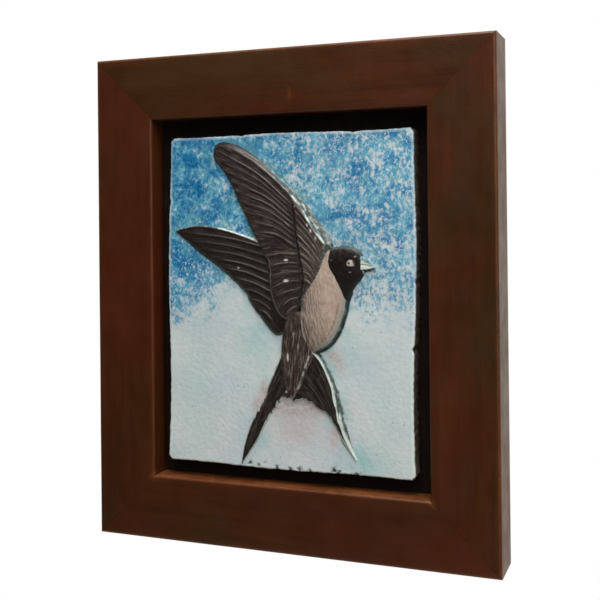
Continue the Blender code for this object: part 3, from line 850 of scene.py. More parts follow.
    def draw(self, desk: Desk) -> tuple[Socket, Socket, Socket]:
        """Lays the sky, the walls, the swallow, the painted shade line round it and the rim one over the
        other.

        Args:
            desk: The material's desk.

        Returns:
            The colour, roughness and height.
        """
        place, barbs = desk.place(), desk.vector("barbs")
        ragged = desk.maths("SUBTRACT", desk.noise(place, 900.0, 3.0, 0.6), 0.5)
        clay = desk.step(desk.noise(place, 300.0, 4.0, 0.65), 0.35, 0.7)
        brushed = (
            ("cream", 0.5, 0.36, 0.64, self.breast(desk, place, barbs)),
            ("bill", 0.2, 0.36, 0.64, self.bill),
            ("dark", 0.5, 0.36, 0.64, self.plumage(desk, barbs)),
            # painted shade at the foot of the walls
            ("crease_shade", 0.5, 0.1, 0.75, self.crease_shade_green),
        )
        laid = (
            (desk.value("eye"), self.eye),
            (desk.value("pupil"), self.pupil),
            # painted highlights
            (desk.value("glint"), self.glint),
            (EDGE_WEAR.on(desk, place, desk.value("rim"), 0.8), self.worn_white),
            (desk.value("side"), desk.mix(clay, self.clay, self.clay_shade)),
            (desk.value("pit"), self.pit),
        )
        colour = desk.mix(desk.value("wall"), self.sky(desk, place), self.walls(desk, place))
        for name, spread, low, high, coat in brushed:
            share = desk.step(desk.maths("MULTIPLY_ADD", ragged, spread, desk.value(name)), low, high)
            colour = desk.mix(share, colour, coat)
        return desk.lay(colour, *laid), *self.surface(desk, place, barbs)


class Form(Enum):
    """The raised shapes of the swallow."""

    FAR_WING = "far wing"
    LEFT_FORK = "left fork"
    RIGHT_FORK = "right fork"
    RUMP = "rump"
    BEAK = "beak"
    BODY = "body"
    NEAR_WING = "near wing"


@dataclass(frozen=True)
class Fan:
    """A fan of feathers: shafts from a root line to a tip line, evenly spaced and bowed to one side."""

    root: Line
    tip: Line
    count: int
    bow: float
    brown: float
    first: float = 1.0
    rest: float = 1.0

    def shafts(self) -> list[Points]:
        """Each shaft: a curve from its root to its tip, with its middle pushed aside by the bow.

        Returns:
            The shafts' points.
        """
        lines = []
        for share in np.linspace(0, 1, self.count):
            start, end = at_share(self.root, share), at_share(self.tip, share)
            chord = end - start
            side = np.array([chord[1], -chord[0]]) / np.hypot(*chord)
            middle = (start + end) / 2 + side * np.sign(side.sum()) * self.bow
            lines.append(smooth_curve([start, middle, end]))
        return lines


@dataclass
class Plumage:
    """What the fans of one shape give at each point."""

    lift: np.ndarray
    shaft: np.ndarray
    brown: np.ndarray
    barbs: Points
    gap: np.ndarray


@dataclass
class Swallow:
    """The swallow's drawing: outlines, feathers, heights and painted areas.

    Lengths are in millimetres, and a rise is a share of the full height. A spot is its x and z, its
    width and height, and its strength.
    """

    full_height: float = 4.8
    wall_slope: float = 0.55
    bevel_blend: float = 1.5
    shaft_width: float = 0.5
    shaft_rise: float = 0.34
    vane_hollow: float = 0.25
    near_wing_rise: tuple[float, float] = (0.4, 0.81)
    far_wing_rise: tuple[float, float] = (0.26, 0.38)
    covert_step: float = 0.12
    lead_fall: float = 0.008
    lead_fall_width: float = 14.0
    head_rise: float = 0.86
    belly_rise: float = 0.94
    beak_rise: tuple[float, float] = (0.6, 0.25)
    rump_rise: tuple[float, float] = (0.52, 0.66)
    fork_rise: tuple[float, float] = (0.2, 0.36)
    dome_radius: float = 9.0
    dome_base: float = 0.45
    rump_radius: float = 5.0
    rump_base: float = 0.8
    fold_width: float = 1.2
    eye: tuple[float, float] = (41.5, 22.0)
    eye_radius: float = 2.2
    eye_stretch: float = 1.18
    eye_rise: float = 0.5
    pupil: tuple[float, float] = (40.9, 22.3)
    body_turn: tuple[tuple[float, float], ...] = ((0.2, -0.98), (0.98, 0.2))

    NEAR_WING_LEAD = [
        (-46, 88.5), (-44, 91.6), (-39, 92), (-30, 88.5), (-16.8, 80.5), (-4.4, 70.6), (8, 57.9),
        (19, 41.5), (25.5, 33),
    ]
    NEAR_WING_FRONT = [(25.5, 33), (24.6, 27), (21, 15), (15, 7)]
    NEAR_WING_BASE = [
        (15, 7), (10.5, -2), (4, -11), (-4, -9), (-9.5, 4), (-10, 20), (-14.5, 30), (-20, 40),
    ]
    NEAR_WING_TRAIL = [(-20, 40), (-29.3, 58.5), (-36.5, 73), (-44.5, 83.9), (-46, 88.5)]
    FAR_WING_TOP = [(-72.8, 41.3), (-66, 43), (-58, 43.9), (-42, 42.1), (-20, 35.4), (0, 27)]
    FAR_WING_ROOT = [(0, 27), (4, 6), (2, -17)]
    FAR_WING_TRAIL = [
        (2, -17), (-2.5, -20.2), (-6.8, -20.6), (-12.1, -15.2), (-21, -3.5), (-25, 4.6), (-39, 17),
        (-58, 30), (-72.8, 41.3),
    ]
    HEAD = [(27, 28.7), (31, 30.5), (37, 31.2), (43.5, 30.3), (47.3, 27.2), (48.3, 21)]
    BREAST = [
        (48.3, 21), (47.4, 15), (42.5, 8.7), (38.6, 1.7), (36.7, -7.3), (32.4, -18.4), (26.4, -26),
        (17.8, -30.3),
    ]
    BELLY_INNER = [(17.8, -30.3), (12, -20), (10.5, -4), (15, 10), (21.5, 20), (27, 28.7)]
    BEAK_TOP = [(44, 27), (51, 24), (55.3, 19.6)]
    BEAK_UNDER = [(55.3, 19.6), (50.5, 18.7), (44, 18.8)]
    BEAK_BASE = [(44, 18.8), (44, 27)]
    RUMP_LEFT = [(1.4, -8), (-1, -19.9), (-2.2, -31), (-2.1, -41), (0, -51.7), (4.2, -58)]
    RUMP_RIGHT = [(4.2, -58), (8.3, -52.5), (12.4, -42), (17, -32), (14, -21), (11, -8), (1.4, -8)]
    LEFT_FORK_OUTER = [(0, -28), (-6.6, -43), (-12.7, -56), (-21, -72), (-26.6, -86), (-29.7, -99.4)]
    LEFT_FORK_INNER = [
        (-29.7, -99.4), (-19.5, -84), (-14.4, -74.4), (-8.6, -66.5), (-3, -58), (4, -56), (0, -28),
    ]
    RIGHT_FORK_OUTER = [
        (15, -29), (21.8, -36.5), (27.3, -48.5), (30.7, -60.4), (33.6, -73), (36.5, -81), (42.8, -92),
    ]
    RIGHT_FORK_INNER = [
        (42.8, -92), (35.3, -80.2), (28, -69), (18, -61.7), (10.5, -58.2), (4, -57.5), (15, -29),
    ]
    FOLD = [(1, 66), (6, 56), (7.9, 36), (10.6, 21), (11.8, 11), (9, -3)]
    HOOD = [
        (30, 38), (54, 38), (54, -2), (40, -2), (37.6, 2), (35.8, 7), (33.7, 11.2), (31.2, 15.8),
        (28.9, 19.3), (28, 23), (28.4, 25.8),
    ]
    GAPE = [(46.3, 21.3), (50, 21.2), (53.2, 20.3)]
    BILL_TOP = [(44, 25.8), (51, 22.4), (55.3, 19.8)]
    RUMP_RIDGE = [(15.5, -32), (13, -38), (9.5, -48), (5, -58)]
    JOIN = ((9.5, -7), 4.5)
    CREST_TURN = ((0.62, 0.78), (-0.78, 0.62))

    BEVELS = {
        Form.NEAR_WING: (NEAR_WING_LEAD, [1.1, 2.6, 3.4, 3.9, 3.3, 2.2, 3.1, 5, 4.5]),
        Form.FAR_WING: (FAR_WING_TRAIL, [1.2, 1.8, 2, 2.2, 2.2, 2.2, 2.2, 2, 0.7]),
        Form.RIGHT_FORK: (RIGHT_FORK_OUTER, [1.6, 2, 2.8, 3.5, 3.8, 3, 0.6]),
    }
    BLUSHES = [
        (6, -62, 22, 6, 0.8), (-15, -54, 3, 6, 0.7), (-20, -64, 2.5, 6, 0.5), (29, -33, 4, 4, 0.7),
        (6, -76, 20, 14, 0.5), (42, -60, 9, 14, 0.12), (33, 39, 4, 6, 0.5), (-49, 88, 6, 7, 0.4),
        (30, -80, 4, 8, 0.5), (38, 34, 5, 4, 0.6), (28, 44, 4, 6, 0.35), (33.5, -38, 4, 7, 0.45),
    ]
    TEAL_CLOUDS = [
        (-20, -26, 12, 12, 0.6), (40, -30, 8, 14, 0.35), (50, -95, 15, 8, 0.6), (-60, -56, 12, 34, 0.3),
        (29, -42, 4, 8, 0.6), (60, -60, 10, 30, 0.2), (-14, -84, 4, 6, 0.3),
    ]
    # painted highlights: x and z, width and height, strength
    GLINTS = [
        (1.2, 23.8, 1.4, 0.7, 0.9), (1.1, 11.5, 1.8, 0.9, 0.8), (-30.3, 18.8, 0.7, 0.6, 0.5),
        (1.8, -34, 0.6, 2.6, 0.9), (0.2, -54.5, 0.5, 0.9, 0.8), (17.5, 41, 0.7, 1.3, 0.9),
        (15.5, 44.5, 0.5, 1.1, 0.8), (20.5, 36.5, 0.5, 1.6, 0.6), (7.5, 55.5, 0.5, 0.8, 0.6),
        (5.5, -20, 0.4, 1.6, 0.4), (8.5, -27, 0.4, 1.8, 0.5), (30, 24, 0.4, 0.4, 0.4),
        (44.5, 26, 0.7, 0.4, 0.5), (41.5, 17, 0.8, 0.3, 0.35), (-21, 36.4, 0.8, 0.7, 0.6),
    ]
    # painted shade lines at the foot of walls: each line, its strength and its width
    CREASE_SHADES = [
        (BREAST[3:], 0.85, 1.7), (BEAK_UNDER[1:], 0.7, 0.9), (RIGHT_FORK_OUTER[1:5], 0.5, 1.6),
        (NEAR_WING_LEAD[7:], 0.45, 1.0), (FAR_WING_TOP[3:5], 0.35, 0.9), (LEFT_FORK_OUTER[1:5], 0.35, 1.3),
        (FAR_WING_TRAIL[3:8], 0.3, 1.1), (NEAR_WING_TRAIL, 0.25, 1.0), (NEAR_WING_LEAD[:6], 0.2, 1.0),
    ]
    FANS = {
        Form.NEAR_WING: [
            Fan([(5, 57), (6.6, 46), (7, 32)], [(-42.5, 89.5), (-35, 73), (-19.5, 40.5)], 9, 3.0, 0.5, 1.4),
            Fan([(8.5, 27), (10.8, 11), (8.5, -3)], [(-11.5, 26), (-8, 8), (1, -9.5)], 7, 1.2, 0.6),
            Fan([(3, 62), (9, 34), (13, 12)], [(24, 33.5), (23.8, 24), (17, 9)], 10, 1.0, 0.9),
        ],
        Form.FAR_WING: [
            Fan([(-11, 31), (-8, 14), (-9, -12)], [(-67, 40.5), (-40, 18.4), (-18.5, -6)], 9, 1.6, 0.05),
        ],
        Form.LEFT_FORK: [
            Fan([(-1, -36), (1, -44), (2, -52)], [(-28.5, -95), (-19, -81), (-7, -63.5)], 3, -0.8, 0.0,
                first=0.5, rest=0.3),
        ],
        Form.RIGHT_FORK: [
            Fan([(17.5, -33), (15, -42), (9, -54)], [(41.5, -89.5), (32.5, -75), (20, -62)], 4, 1.0, 0.0,
                first=0.5, rest=0.4),
        ],
        Form.RUMP: [
            Fan([(2, -13), (7, -12), (12.5, -17)], [(-0.3, -44), (3.5, -56), (9.8, -46)], 4, 0.0, 0.95,
                first=0.5, rest=0.3),
        ],
    }
    RINGS = {
        Form.FAR_WING: (FAR_WING_TOP, FAR_WING_ROOT, FAR_WING_TRAIL),
        Form.LEFT_FORK: (LEFT_FORK_OUTER, LEFT_FORK_INNER),
        Form.RIGHT_FORK: (RIGHT_FORK_OUTER, RIGHT_FORK_INNER),
        Form.RUMP: (RUMP_LEFT, RUMP_RIGHT),
        Form.BEAK: (BEAK_TOP, BEAK_UNDER, BEAK_BASE),
        Form.BODY: (HEAD, BREAST, BELLY_INNER),
        Form.NEAR_WING: (NEAR_WING_LEAD, NEAR_WING_FRONT, NEAR_WING_BASE, NEAR_WING_TRAIL),
    }

    @cached_property
    def rings(self) -> dict[Form, Points]:
        """Each shape's closed outline."""
        return {form: closed_outline(*stretches) for form, stretches in self.RINGS.items()}

    def feathers(self, points: Points, form: Form) -> Plumage:
        """A shape's feathers: a rounded shaft along each line and a shallow hollow between two.

        The barbs are coordinates for streaks: millimetres along the nearest shaft, across it, and its number.

        Args:
            points: Places on the drawing.
            form: The shape.

        Returns:
            Their lift in millimetres, shaft share, tone, barbs and distance from the nearest shaft.
        """
        count = len(points)
        best = np.full(count, np.inf)
        shaft, brown = np.zeros(count), np.zeros(count)
        down, across = self.body_turn
        barbs = np.stack([points @ down, points @ across, np.zeros(count)], axis=1)
        number = 0
        for fan in self.FANS.get(form, []):
            strength = fan.first
            for line in fan.shafts():
                gap, along, side = nearest(points, line)
                length = np.hypot(*np.diff(line, axis=0).T).sum()
                fade = ease(along / 0.12) * ease((1 - along) / 0.35) * (0.8 + 0.2 * math.sin(5.1 * number))
                shaft = np.maximum(shaft, bump(gap, self.shaft_width) * fade * strength)
                closer = gap < best
                best = np.where(closer, gap, best)
                brown = np.where(closer, fan.brown, brown)
                here = np.stack([along * length, gap * side, np.full(count, 7.3 * number)], axis=1)
                barbs[closer] = here[closer]
                number += 1
                strength = fan.rest
        lift = shaft * self.shaft_rise - self.vane_hollow * (ease(best / 2.2) if number else 0)
        return Plumage(lift, np.minimum(shaft, 1), brown, barbs, best)

    def dome(self, depth: np.ndarray, radius: float, base: float) -> np.ndarray:
        """A rounded top: a quarter ellipse in from the outline, from a base share up to 1."""
        share = np.clip(depth / radius, 0, 1)
        return base + (1 - base) * np.sqrt(1 - (1 - share) ** 2)

    def top(self, form: Form, points: Points, depth: np.ndarray) -> np.ndarray:
        """A shape's bare top, as a share of the full height.

        Wings and tail fall toward their tips, the rump and the body are rounded across, and the
        near wing steps up to its coverts past the fold.

        Args:
            form: The shape.
            points: Places on the drawing.
            depth: How far each place lies inside the outline.

        Returns:
            The top's height share at each place.
        """
        x, z = points.T
        if form is Form.FAR_WING:
            return between(*self.far_wing_rise, (x + 73) / 50)
        if form in (Form.LEFT_FORK, Form.RIGHT_FORK):
            return between(*self.fork_rise, (z + 98) / 50)
        if form is Form.RUMP:
            rise = between(*self.rump_rise, (z + 58) / 40)
            return rise * self.dome(depth, self.rump_radius, self.rump_base)
        if form is Form.BEAK:
            return between(*self.beak_rise, (x - 46) / 11)
        if form is Form.BODY:
            rise = between(self.belly_rise, self.head_rise, z / 20)
            return rise * self.dome(depth, self.dome_radius, self.dome_base)
        from_lead = nearest(points, smooth_curve(self.NEAR_WING_LEAD))[0]
        top = between(*self.near_wing_rise, (x + 47) / 62)
        top = top - self.lead_fall * np.minimum(from_lead, self.lead_fall_width)
        return top + self.covert_step * self.past_fold(points) * ease((72 - z) / 16)

    def wall_width(self, form: Form, points: Points, depth: np.ndarray, top: np.ndarray) -> np.ndarray:
        """How far a shape's wall runs out: by the walls' slope, and further along a bevelled edge.

        Args:
            form: The shape.
            points: Places on the drawing.
            depth: How far each place lies inside the outline.
            top: The shape's height at each place in millimetres.

        Returns:
            The wall's width at each place.
        """
        width = self.wall_slope * top
        if form not in self.BEVELS:
            return width
        edge, widths = self.BEVELS[form]
        gap, along, _ = nearest(points, smooth_curve(edge))
        bevel = np.interp(along * (len(widths) - 1), np.arange(len(widths)), widths)
        return width + (bevel - width) * ease(1 - (gap - np.abs(depth)) / self.bevel_blend)

    def ragged(self, form: Form, points: Points, depth: np.ndarray, feathers: Plumage) -> np.ndarray:
        """How far an outline moves in: scallops between feather tips, and a ragged end on rump and tail.

        Args:
            form: The shape.
            points: Places on the drawing.
            depth: How far each place lies inside the outline.
            feathers: The shape's feathers.

        Returns:
            The move at each place.
        """
        z = points[:, 1]
        if form in (Form.NEAR_WING, Form.FAR_WING):
            near = form is Form.NEAR_WING
            cut = 0.55 if near else between(0.55, 1.3, -z / 10)
            lead = nearest(points, smooth_curve(self.NEAR_WING_LEAD if near else self.FAR_WING_TOP))[0]
            return cut * ease(feathers.gap / 2.4) * (1 - ease(depth / 4)) * ease((lead - 4) / 5)
        if form in (Form.RUMP, Form.LEFT_FORK, Form.RIGHT_FORK):
            tips = ripple(points * (1, 0.12), 2.4, 5) + 0.6 * ripple(points * (1, 0.1), 1.3, 6)
            return 0.55 * (1 + np.clip(tips, -1, 1)) * ease((z + 76) / 8) * ease((-52 - z) / 6)
        return np.zeros(len(points))

    def past_fold(self, points: Points) -> np.ndarray:
        """0 to 1 across the fold of the near wing.

        Args:
            points: Places on the drawing.

        Returns:
            The share at each place.
        """
        fold = smooth_curve(self.FOLD)
        past = points[:, 0] - np.interp(-points[:, 1], -fold[:, 1], fold[:, 0])
        return ease(past / self.fold_width)


@dataclass
class Relief:
    """The swallow's heights and painted areas over a grid of places on the drawing.

    A painted area is a share of 0 to 1 at each place, and lengths are in millimetres.
    """

    swallow: Swallow
    x: np.ndarray
    z: np.ndarray
    cell: float
    margin: float = 9.0
    far: float = 99.0
    least_rise: float = 1e-6
    brush: float = 0.35
    values: dict[str, np.ndarray] = field(default_factory=dict)

    def __post_init__(self) -> None:
        """Works out the heights, the small cuts and then the painted areas."""
        self.points = np.stack([self.x.ravel(), self.z.ravel()], axis=1)
        self.raise_forms()
        self.find_places()
        self.cut_details()
        for areas in (self.plumage, self.breast_and_head, self.walls, self.ground):
            self.values.update(areas())

    def raise_forms(self) -> None:
        """The height at each place: the highest of the shapes.

        Each shape has its top inside its outline, and outside it a wall that eases down to the ground.
        """
        swallow, points = self.swallow, self.points
        count = len(points)
        self.height = np.zeros(count)
        self.owner = np.full(count, -1)
        self.depth, self.cover = np.full((2, count), -self.far)
        self.foot = np.full(count, self.far)
        self.shaft, self.brown = np.zeros(count), np.zeros(count)
        self.barbs = np.zeros((count, 3))
        for index, form in enumerate(Form):
            ring = swallow.rings[form]
            low, high = ring.min(axis=0) - self.margin, ring.max(axis=0) + self.margin
            near = np.flatnonzero(((points > low) & (points < high)).all(axis=1))
            part = points[near]
            depth = depth_inside(part, ring)
            feathers = swallow.feathers(part, form)
            top = swallow.top(form, part, depth) * swallow.full_height
            wall = swallow.wall_width(form, part, depth, top)
            depth = depth - swallow.ragged(form, part, depth, feathers)
            height = (top + feathers.lift) * ease(1 + depth / wall)
            over = height > self.height[near] + self.least_rise
            chosen = near[over]
            self.owner[chosen] = index
            for kept, found in (
                (self.height, height), (self.depth, depth), (self.shaft, feathers.shaft),
                (self.brown, feathers.brown), (self.barbs, feathers.barbs),
            ):
                kept[chosen] = found[over]
            self.foot[near] = np.minimum(self.foot[near], -depth - wall)
            if form not in (Form.BODY, Form.BEAK):
                self.cover[near] = np.maximum(self.cover[near], depth)

    def owned(self, *forms: Form) -> np.ndarray:
        """1 where one of the shapes is the highest."""
        order = list(Form)
        return np.isin(self.owner, [order.index(form) for form in forms]).astype(float)

    def gap_to(self, line: Line) -> np.ndarray:
        """Each place's distance from a smooth curve."""
        return nearest(self.points, smooth_curve(line))[0]

    def brushed(self, depth: np.ndarray, reach: float) -> np.ndarray:
        """Paint up to an outline: 0 to 1 as the depth inside it goes from -reach to reach."""
        return ease((depth + reach) / (2 * reach))

    def find_places(self) -> None:
        """What the cuts and painted areas share: the shapes, drawn lines, and where paint reaches."""
        swallow, points = self.swallow, self.points
        x, z = points.T
        self.body, self.beak = self.owned(Form.BODY), self.owned(Form.BEAK)
        self.near_wing = self.owned(Form.NEAR_WING)
        self.feathered = 1 - self.body - self.beak - (self.owner < 0)
        self.on_wall = ((self.owner >= 0) & (self.foot < 0.1)).astype(float)
        self.from_eye = np.hypot((x - swallow.eye[0]) / swallow.eye_stretch, z - swallow.eye[1])
        self.gape, self.fold = self.gap_to(swallow.GAPE), self.gap_to(swallow.FOLD[1:])
        self.above_bill = self.beak * (z > np.interp(x, *np.transpose(swallow.BILL_TOP)))
        self.hood = self.brushed(depth_inside(points, np.array(swallow.HOOD, float)), 0.3)
        self.inside = self.brushed(self.depth, self.brush)
        self.outer = 1 - ease(1 - (self.gap_to(swallow.BELLY_INNER) - np.abs(self.depth)) / 1.5)
        self.coverts = swallow.past_fold(points) * ease((50 - z) / 24) * ease((z + 8) / 8)
        frayed = self.coverts * ease((28 - z) / 10) * ripple(points * (1, 0.6), 1.8, 21)
        joined, reach = swallow.JOIN
        in_join = ease(reach - np.hypot(x - joined[0], z - joined[1]))
        self.covered = np.maximum(self.brushed(self.cover + frayed, self.brush), in_join)

    def cut_details(self) -> None:
        """Small cuts: the eye's bead and its groove, the beak's gape, the hood's down and the wing's fold."""
        swallow = self.swallow
        bead = np.sqrt(np.clip(1 - (self.from_eye / swallow.eye_radius) ** 2, 0, 1))
        groove = bump(self.from_eye - swallow.eye_radius - 0.5, 0.9)
        on_head = self.body * ease((self.points[:, 1] - 2) / 8)
        down = ripple(self.points, 3.6, 18, 15) * on_head * ease((self.from_eye - 3) / 2)
        self.height += swallow.eye_rise * bead
        self.height -= 0.22 * groove
        self.height -= 0.35 * bump(self.gape, 0.5) * self.beak
        self.height += 0.06 * down
        self.height -= 0.3 * bump(self.fold, 1.0) * self.near_wing

    def plumage(self) -> dict[str, np.ndarray]:
        """The dark feathers: their paint and its tone, the pale shafts with a painted highlight along the
        secondaries' tips, the streaks, and painted shade in the fold.

        Returns:
            The areas by name.
        """
        x, z = self.points.T
        hood_edge = between(-1.8, 0.1, (z - 14) / 5)
        dark = self.feathered * self.covered + self.body * self.hood * ease((self.depth - hood_edge) / 0.6)
        dark += self.body * self.covered * (1 - self.inside) * self.outer
        dark += self.near_wing * self.on_wall * between(0.8, 0, (x + 24) / 26)
        # painted highlight: a pale line along the rounded tips of the near wing's secondaries
        tips = bump(self.depth - 0.5, 0.55) * self.near_wing * ease((28 - z) / 3) * ease((4 - x) / 3)
        broad = 0.6 * bump(self.barbs[:, 1], 1.1) * self.coverts * self.near_wing
        shaft = np.maximum(self.shaft, broad) * self.feathered * self.covered
        streak = self.owned(Form.RUMP) + self.near_wing * (0.4 + 0.6 * self.coverts)
        streak += self.owned(Form.LEFT_FORK, Form.RIGHT_FORK) * 0.3 + self.owned(Form.FAR_WING) * 0.15
        return {
            "dark": np.clip(dark, 0, 1),
            "brown": self.brown,
            # pale shafts, with the painted highlight along the secondaries' tips
            "shaft": np.maximum(shaft, 0.95 * tips),
            "streak": streak,
            # painted shade: darker in the fold's groove
            "fold": bump(self.fold, 1.5) * self.near_wing,
        }

    def breast_and_head(self) -> dict[str, np.ndarray]:
        """The cream breast with its hair marks, painted shade on its lower right and down its right side, and
        the bill and eye.

        Returns:
            The areas by name.
        """
        swallow = self.swallow
        x, z = self.points.T
        beside_inner = 1 - self.outer
        cream = np.maximum(self.inside, beside_inner * ease((self.depth + 2.2) / 0.7))
        # painted shade: a band in from the belly's lower right edge, laid with the hair marks
        lower_turn_shade = bump(self.depth - 3.4, 1.5) * self.outer * ease((4 - z) / 8)
        rim = (2.0 + 0.35 * ripple(self.points, 3, 15) - self.from_eye) / 0.5
        pupil = ease((0.95 - np.hypot(x - swallow.pupil[0], z - swallow.pupil[1])) / 0.4)
        return {
            "cream": self.body * (1 - self.hood) * cream,
            # hair marks, with the painted shade on the lower right
            "hair_strokes_and_shade": np.maximum(between(1.0, 0.2, (x - 15 + 0.2 * (z + 20)) / 17), 0.75 * lower_turn_shade),
            # painted shade: grey-green down the belly's right side, where it rounds away from the light
            "turned": ease(1.2 - self.depth / 3) * self.outer * ease((16 - z) / 8),
            "bill": self.beak * self.inside * ease((x - 47.2) / 0.6) * (1 - self.above_bill),
            "eye": ease(rim),
            "pupil": np.maximum(pupil, 0.8 * bump(self.gape, 0.45) * self.beak),
        }

    def walls(self) -> dict[str, np.ndarray]:
        """The bare walls, how dark they are painted (pooled glaze and painted shade), the painted shade line
        at their foot and the painted glints on top.

        Returns:
            The areas by name.
        """
        return {
            "wall": self.on_wall * (1 - 0.45 * self.above_bill),
            "murk_and_shade": self.crest_highlight(self.murk_and_shade()),
            "crease_shade": self.crease_shades(),
            "glint": self.glints(),
        }

    def murk_and_shade(self) -> np.ndarray:
        """How dark the walls are painted: glaze pooled on them, and painted shade on walls that face away
        from the light from the upper right, painted paler where they face it.

        Returns:
            Its share at each place.
        """
        x, z = self.points.T
        rise_z, rise_x = (rise.ravel() for rise in np.gradient(self.height.reshape(self.x.shape), self.cell))
        facing = -(rise_x * 0.86 + rise_z * 0.5) / np.maximum(np.hypot(rise_x, rise_z), 1e-6)
        # painted light and shade: paler on walls that face the light from the upper right, darker on those
        # that face away
        murk_and_shade = between(0.9, 0.3, ease((facing + 0.1) / 0.5))
        murk_and_shade = np.maximum(murk_and_shade, self.near_wing * between(1.1, 0.7, (x + 20) / 40))
        upper = between(0.75, 0.25, 3 - self.gap_to(self.swallow.FAR_WING_TOP[3:]))
        murk_and_shade = np.maximum(murk_and_shade, upper * self.owned(Form.FAR_WING))
        murk_and_shade = np.maximum(murk_and_shade, self.body * ease((z - 22) / 3) * 0.95)
        # right fork: a pale strip at the crest, painted darker as shade further down its wall
        strip = self.owned(Form.RIGHT_FORK)
        bare = between(0.1, 0.8, (-self.depth - between(0.4, 1.0, (-z - 40) / 30)) / 1.1)
        murk_and_shade = murk_and_shade * (1 - strip) + strip * bare
        # painted shade: the slope above the bill is painted dark against the light from above
        murk_and_shade = murk_and_shade * (1 - self.above_bill) + 0.75 * self.above_bill
        # painted shade: dark green down the belly's right side
        belly = self.body * ease((14 - z) / 8) * ease((x - 18) / 4)
        return np.maximum(murk_and_shade, belly * (0.85 + 0.25 * ripple(self.points, 9, 19)))

    def crest_highlight(self, murk_and_shade: np.ndarray) -> np.ndarray:
        """Painted highlights: two broken pale strands along the near wing's leading edge, where the wall's
        darkness is cleared, and a mottle over the rest of the wing.

        Args:
            murk_and_shade: The murk so far.

        Returns:
            The wall's darkness with its painted highlight strands.
        """
        crest = self.gap_to(self.swallow.NEAR_WING_LEAD[3:])
        lengthwise = self.points @ np.array(self.swallow.CREST_TURN) * (0.3, 1.3)
        # painted highlight: glossy streaks along the crest
        glossy = ease((0.2 + ripple(lengthwise, 3, 14)) / 0.9)
        glossy = between(0.1, 0.75, (self.points[:, 0] + 18) / 22) * glossy
        highlight_strands = np.maximum(bump(crest - 0.6, 0.8), 0.7 * bump(crest - 2.2, 0.7))
        mottle = 0.16 * self.near_wing * ripple(lengthwise * (1, 1.6), 2.4, 20)
        return murk_and_shade * (1 - glossy * highlight_strands * self.near_wing) + mottle

    def crease_shades(self) -> np.ndarray:
        """Painted shade: a dark line at the foot of some walls, with dark glaze pooled there, on the bare
        tile only.

        Returns:
            Its share at each place.
        """
        crease_shade = np.zeros(len(self.points))
        broken = ease((0.75 + ripple(self.points, 7, 13)) / 1.1)
        for line, share, width in self.swallow.CREASE_SHADES:
            strength = share * (1 - ease((self.gap_to(line) - 3.5) / 3)) * np.maximum(broken, share)
            crease_shade = np.maximum(crease_shade, bump(self.foot - 0.2, width) * strength)
        return crease_shade * (self.cover < -0.3)

    def glints(self) -> np.ndarray:
        """Painted highlights: small pale glints on raised places, and lit lines along the rump's right ridge
        and the belly's lower left edge.

        Returns:
            Their share at each place.
        """
        swallow, points = self.swallow, self.points
        ridge = 0.6 * bump(self.gap_to(swallow.RUMP_RIDGE), 0.9) * self.owned(Form.RUMP)
        edge = 0.55 * bump(self.gap_to(swallow.BELLY_INNER[:3]), 0.6)
        total = ridge * ease((0.8 + ripple(points, 4, 16)) / 1.2)
        total = np.maximum(total, edge * ease((0.9 + ripple(points, 5, 17)) / 1.3))
        for x, z, wide, high, strength in swallow.GLINTS:
            off = np.hypot((points[:, 0] - x) / wide, (points[:, 1] - z) / high)
            total = np.maximum(total, strength * ease((1.3 - off) / 0.8))
        return total

    def ground(self) -> dict[str, np.ndarray]:
        """The bare tile: the sponged sky, the teal halo round the swallow and the pinkish smudges.

        The blue is sponged most densely at the top left, and fades out along a line that sinks to both sides.

        Returns:
            The areas by name.
        """
        points = self.points
        x, z = points.T
        line = between(2, -30, (-22 - x) / 50) + between(0, -24, (x - 24) / 26) + 3 * ripple(points, 34, 3)
        density = between(1.0, 0.7, (x + 55 + 0.5 * (95 - z)) / 75) * between(0.82, 1, (z + 10) / 60)
        patchy = ease((0.4 + ripple(points, 16, 12)) / 0.9)
        around = np.exp(-np.maximum(self.foot, 0) / 5)
        around = around * ease((9.5 + ripple(points, 30, 11) * 6) / 12) * patchy
        return {
            "sky": ease((z - line + 14) / 50) * density,
            "halo": np.clip(0.9 * around + self.clouds(self.swallow.TEAL_CLOUDS), 0, 1),
            "blush": self.clouds(self.swallow.BLUSHES),
        }

    def clouds(self, spots: list[Spot]) -> np.ndarray:
        """Soft round clouds: the sum of strength times exp(-x^2 - z^2) over the spots, at most 1.

        Args:
            spots: The clouds.

        Returns:
            Their share at each place.
        """
        total = np.zeros(len(self.points))
        for x, z, wide, high, strength in spots:
            off = ((self.points[:, 0] - x) / wide) ** 2 + ((self.points[:, 1] - z) / high) ** 2
            total += strength * np.exp(-off)
        return np.clip(total, 0, 1)


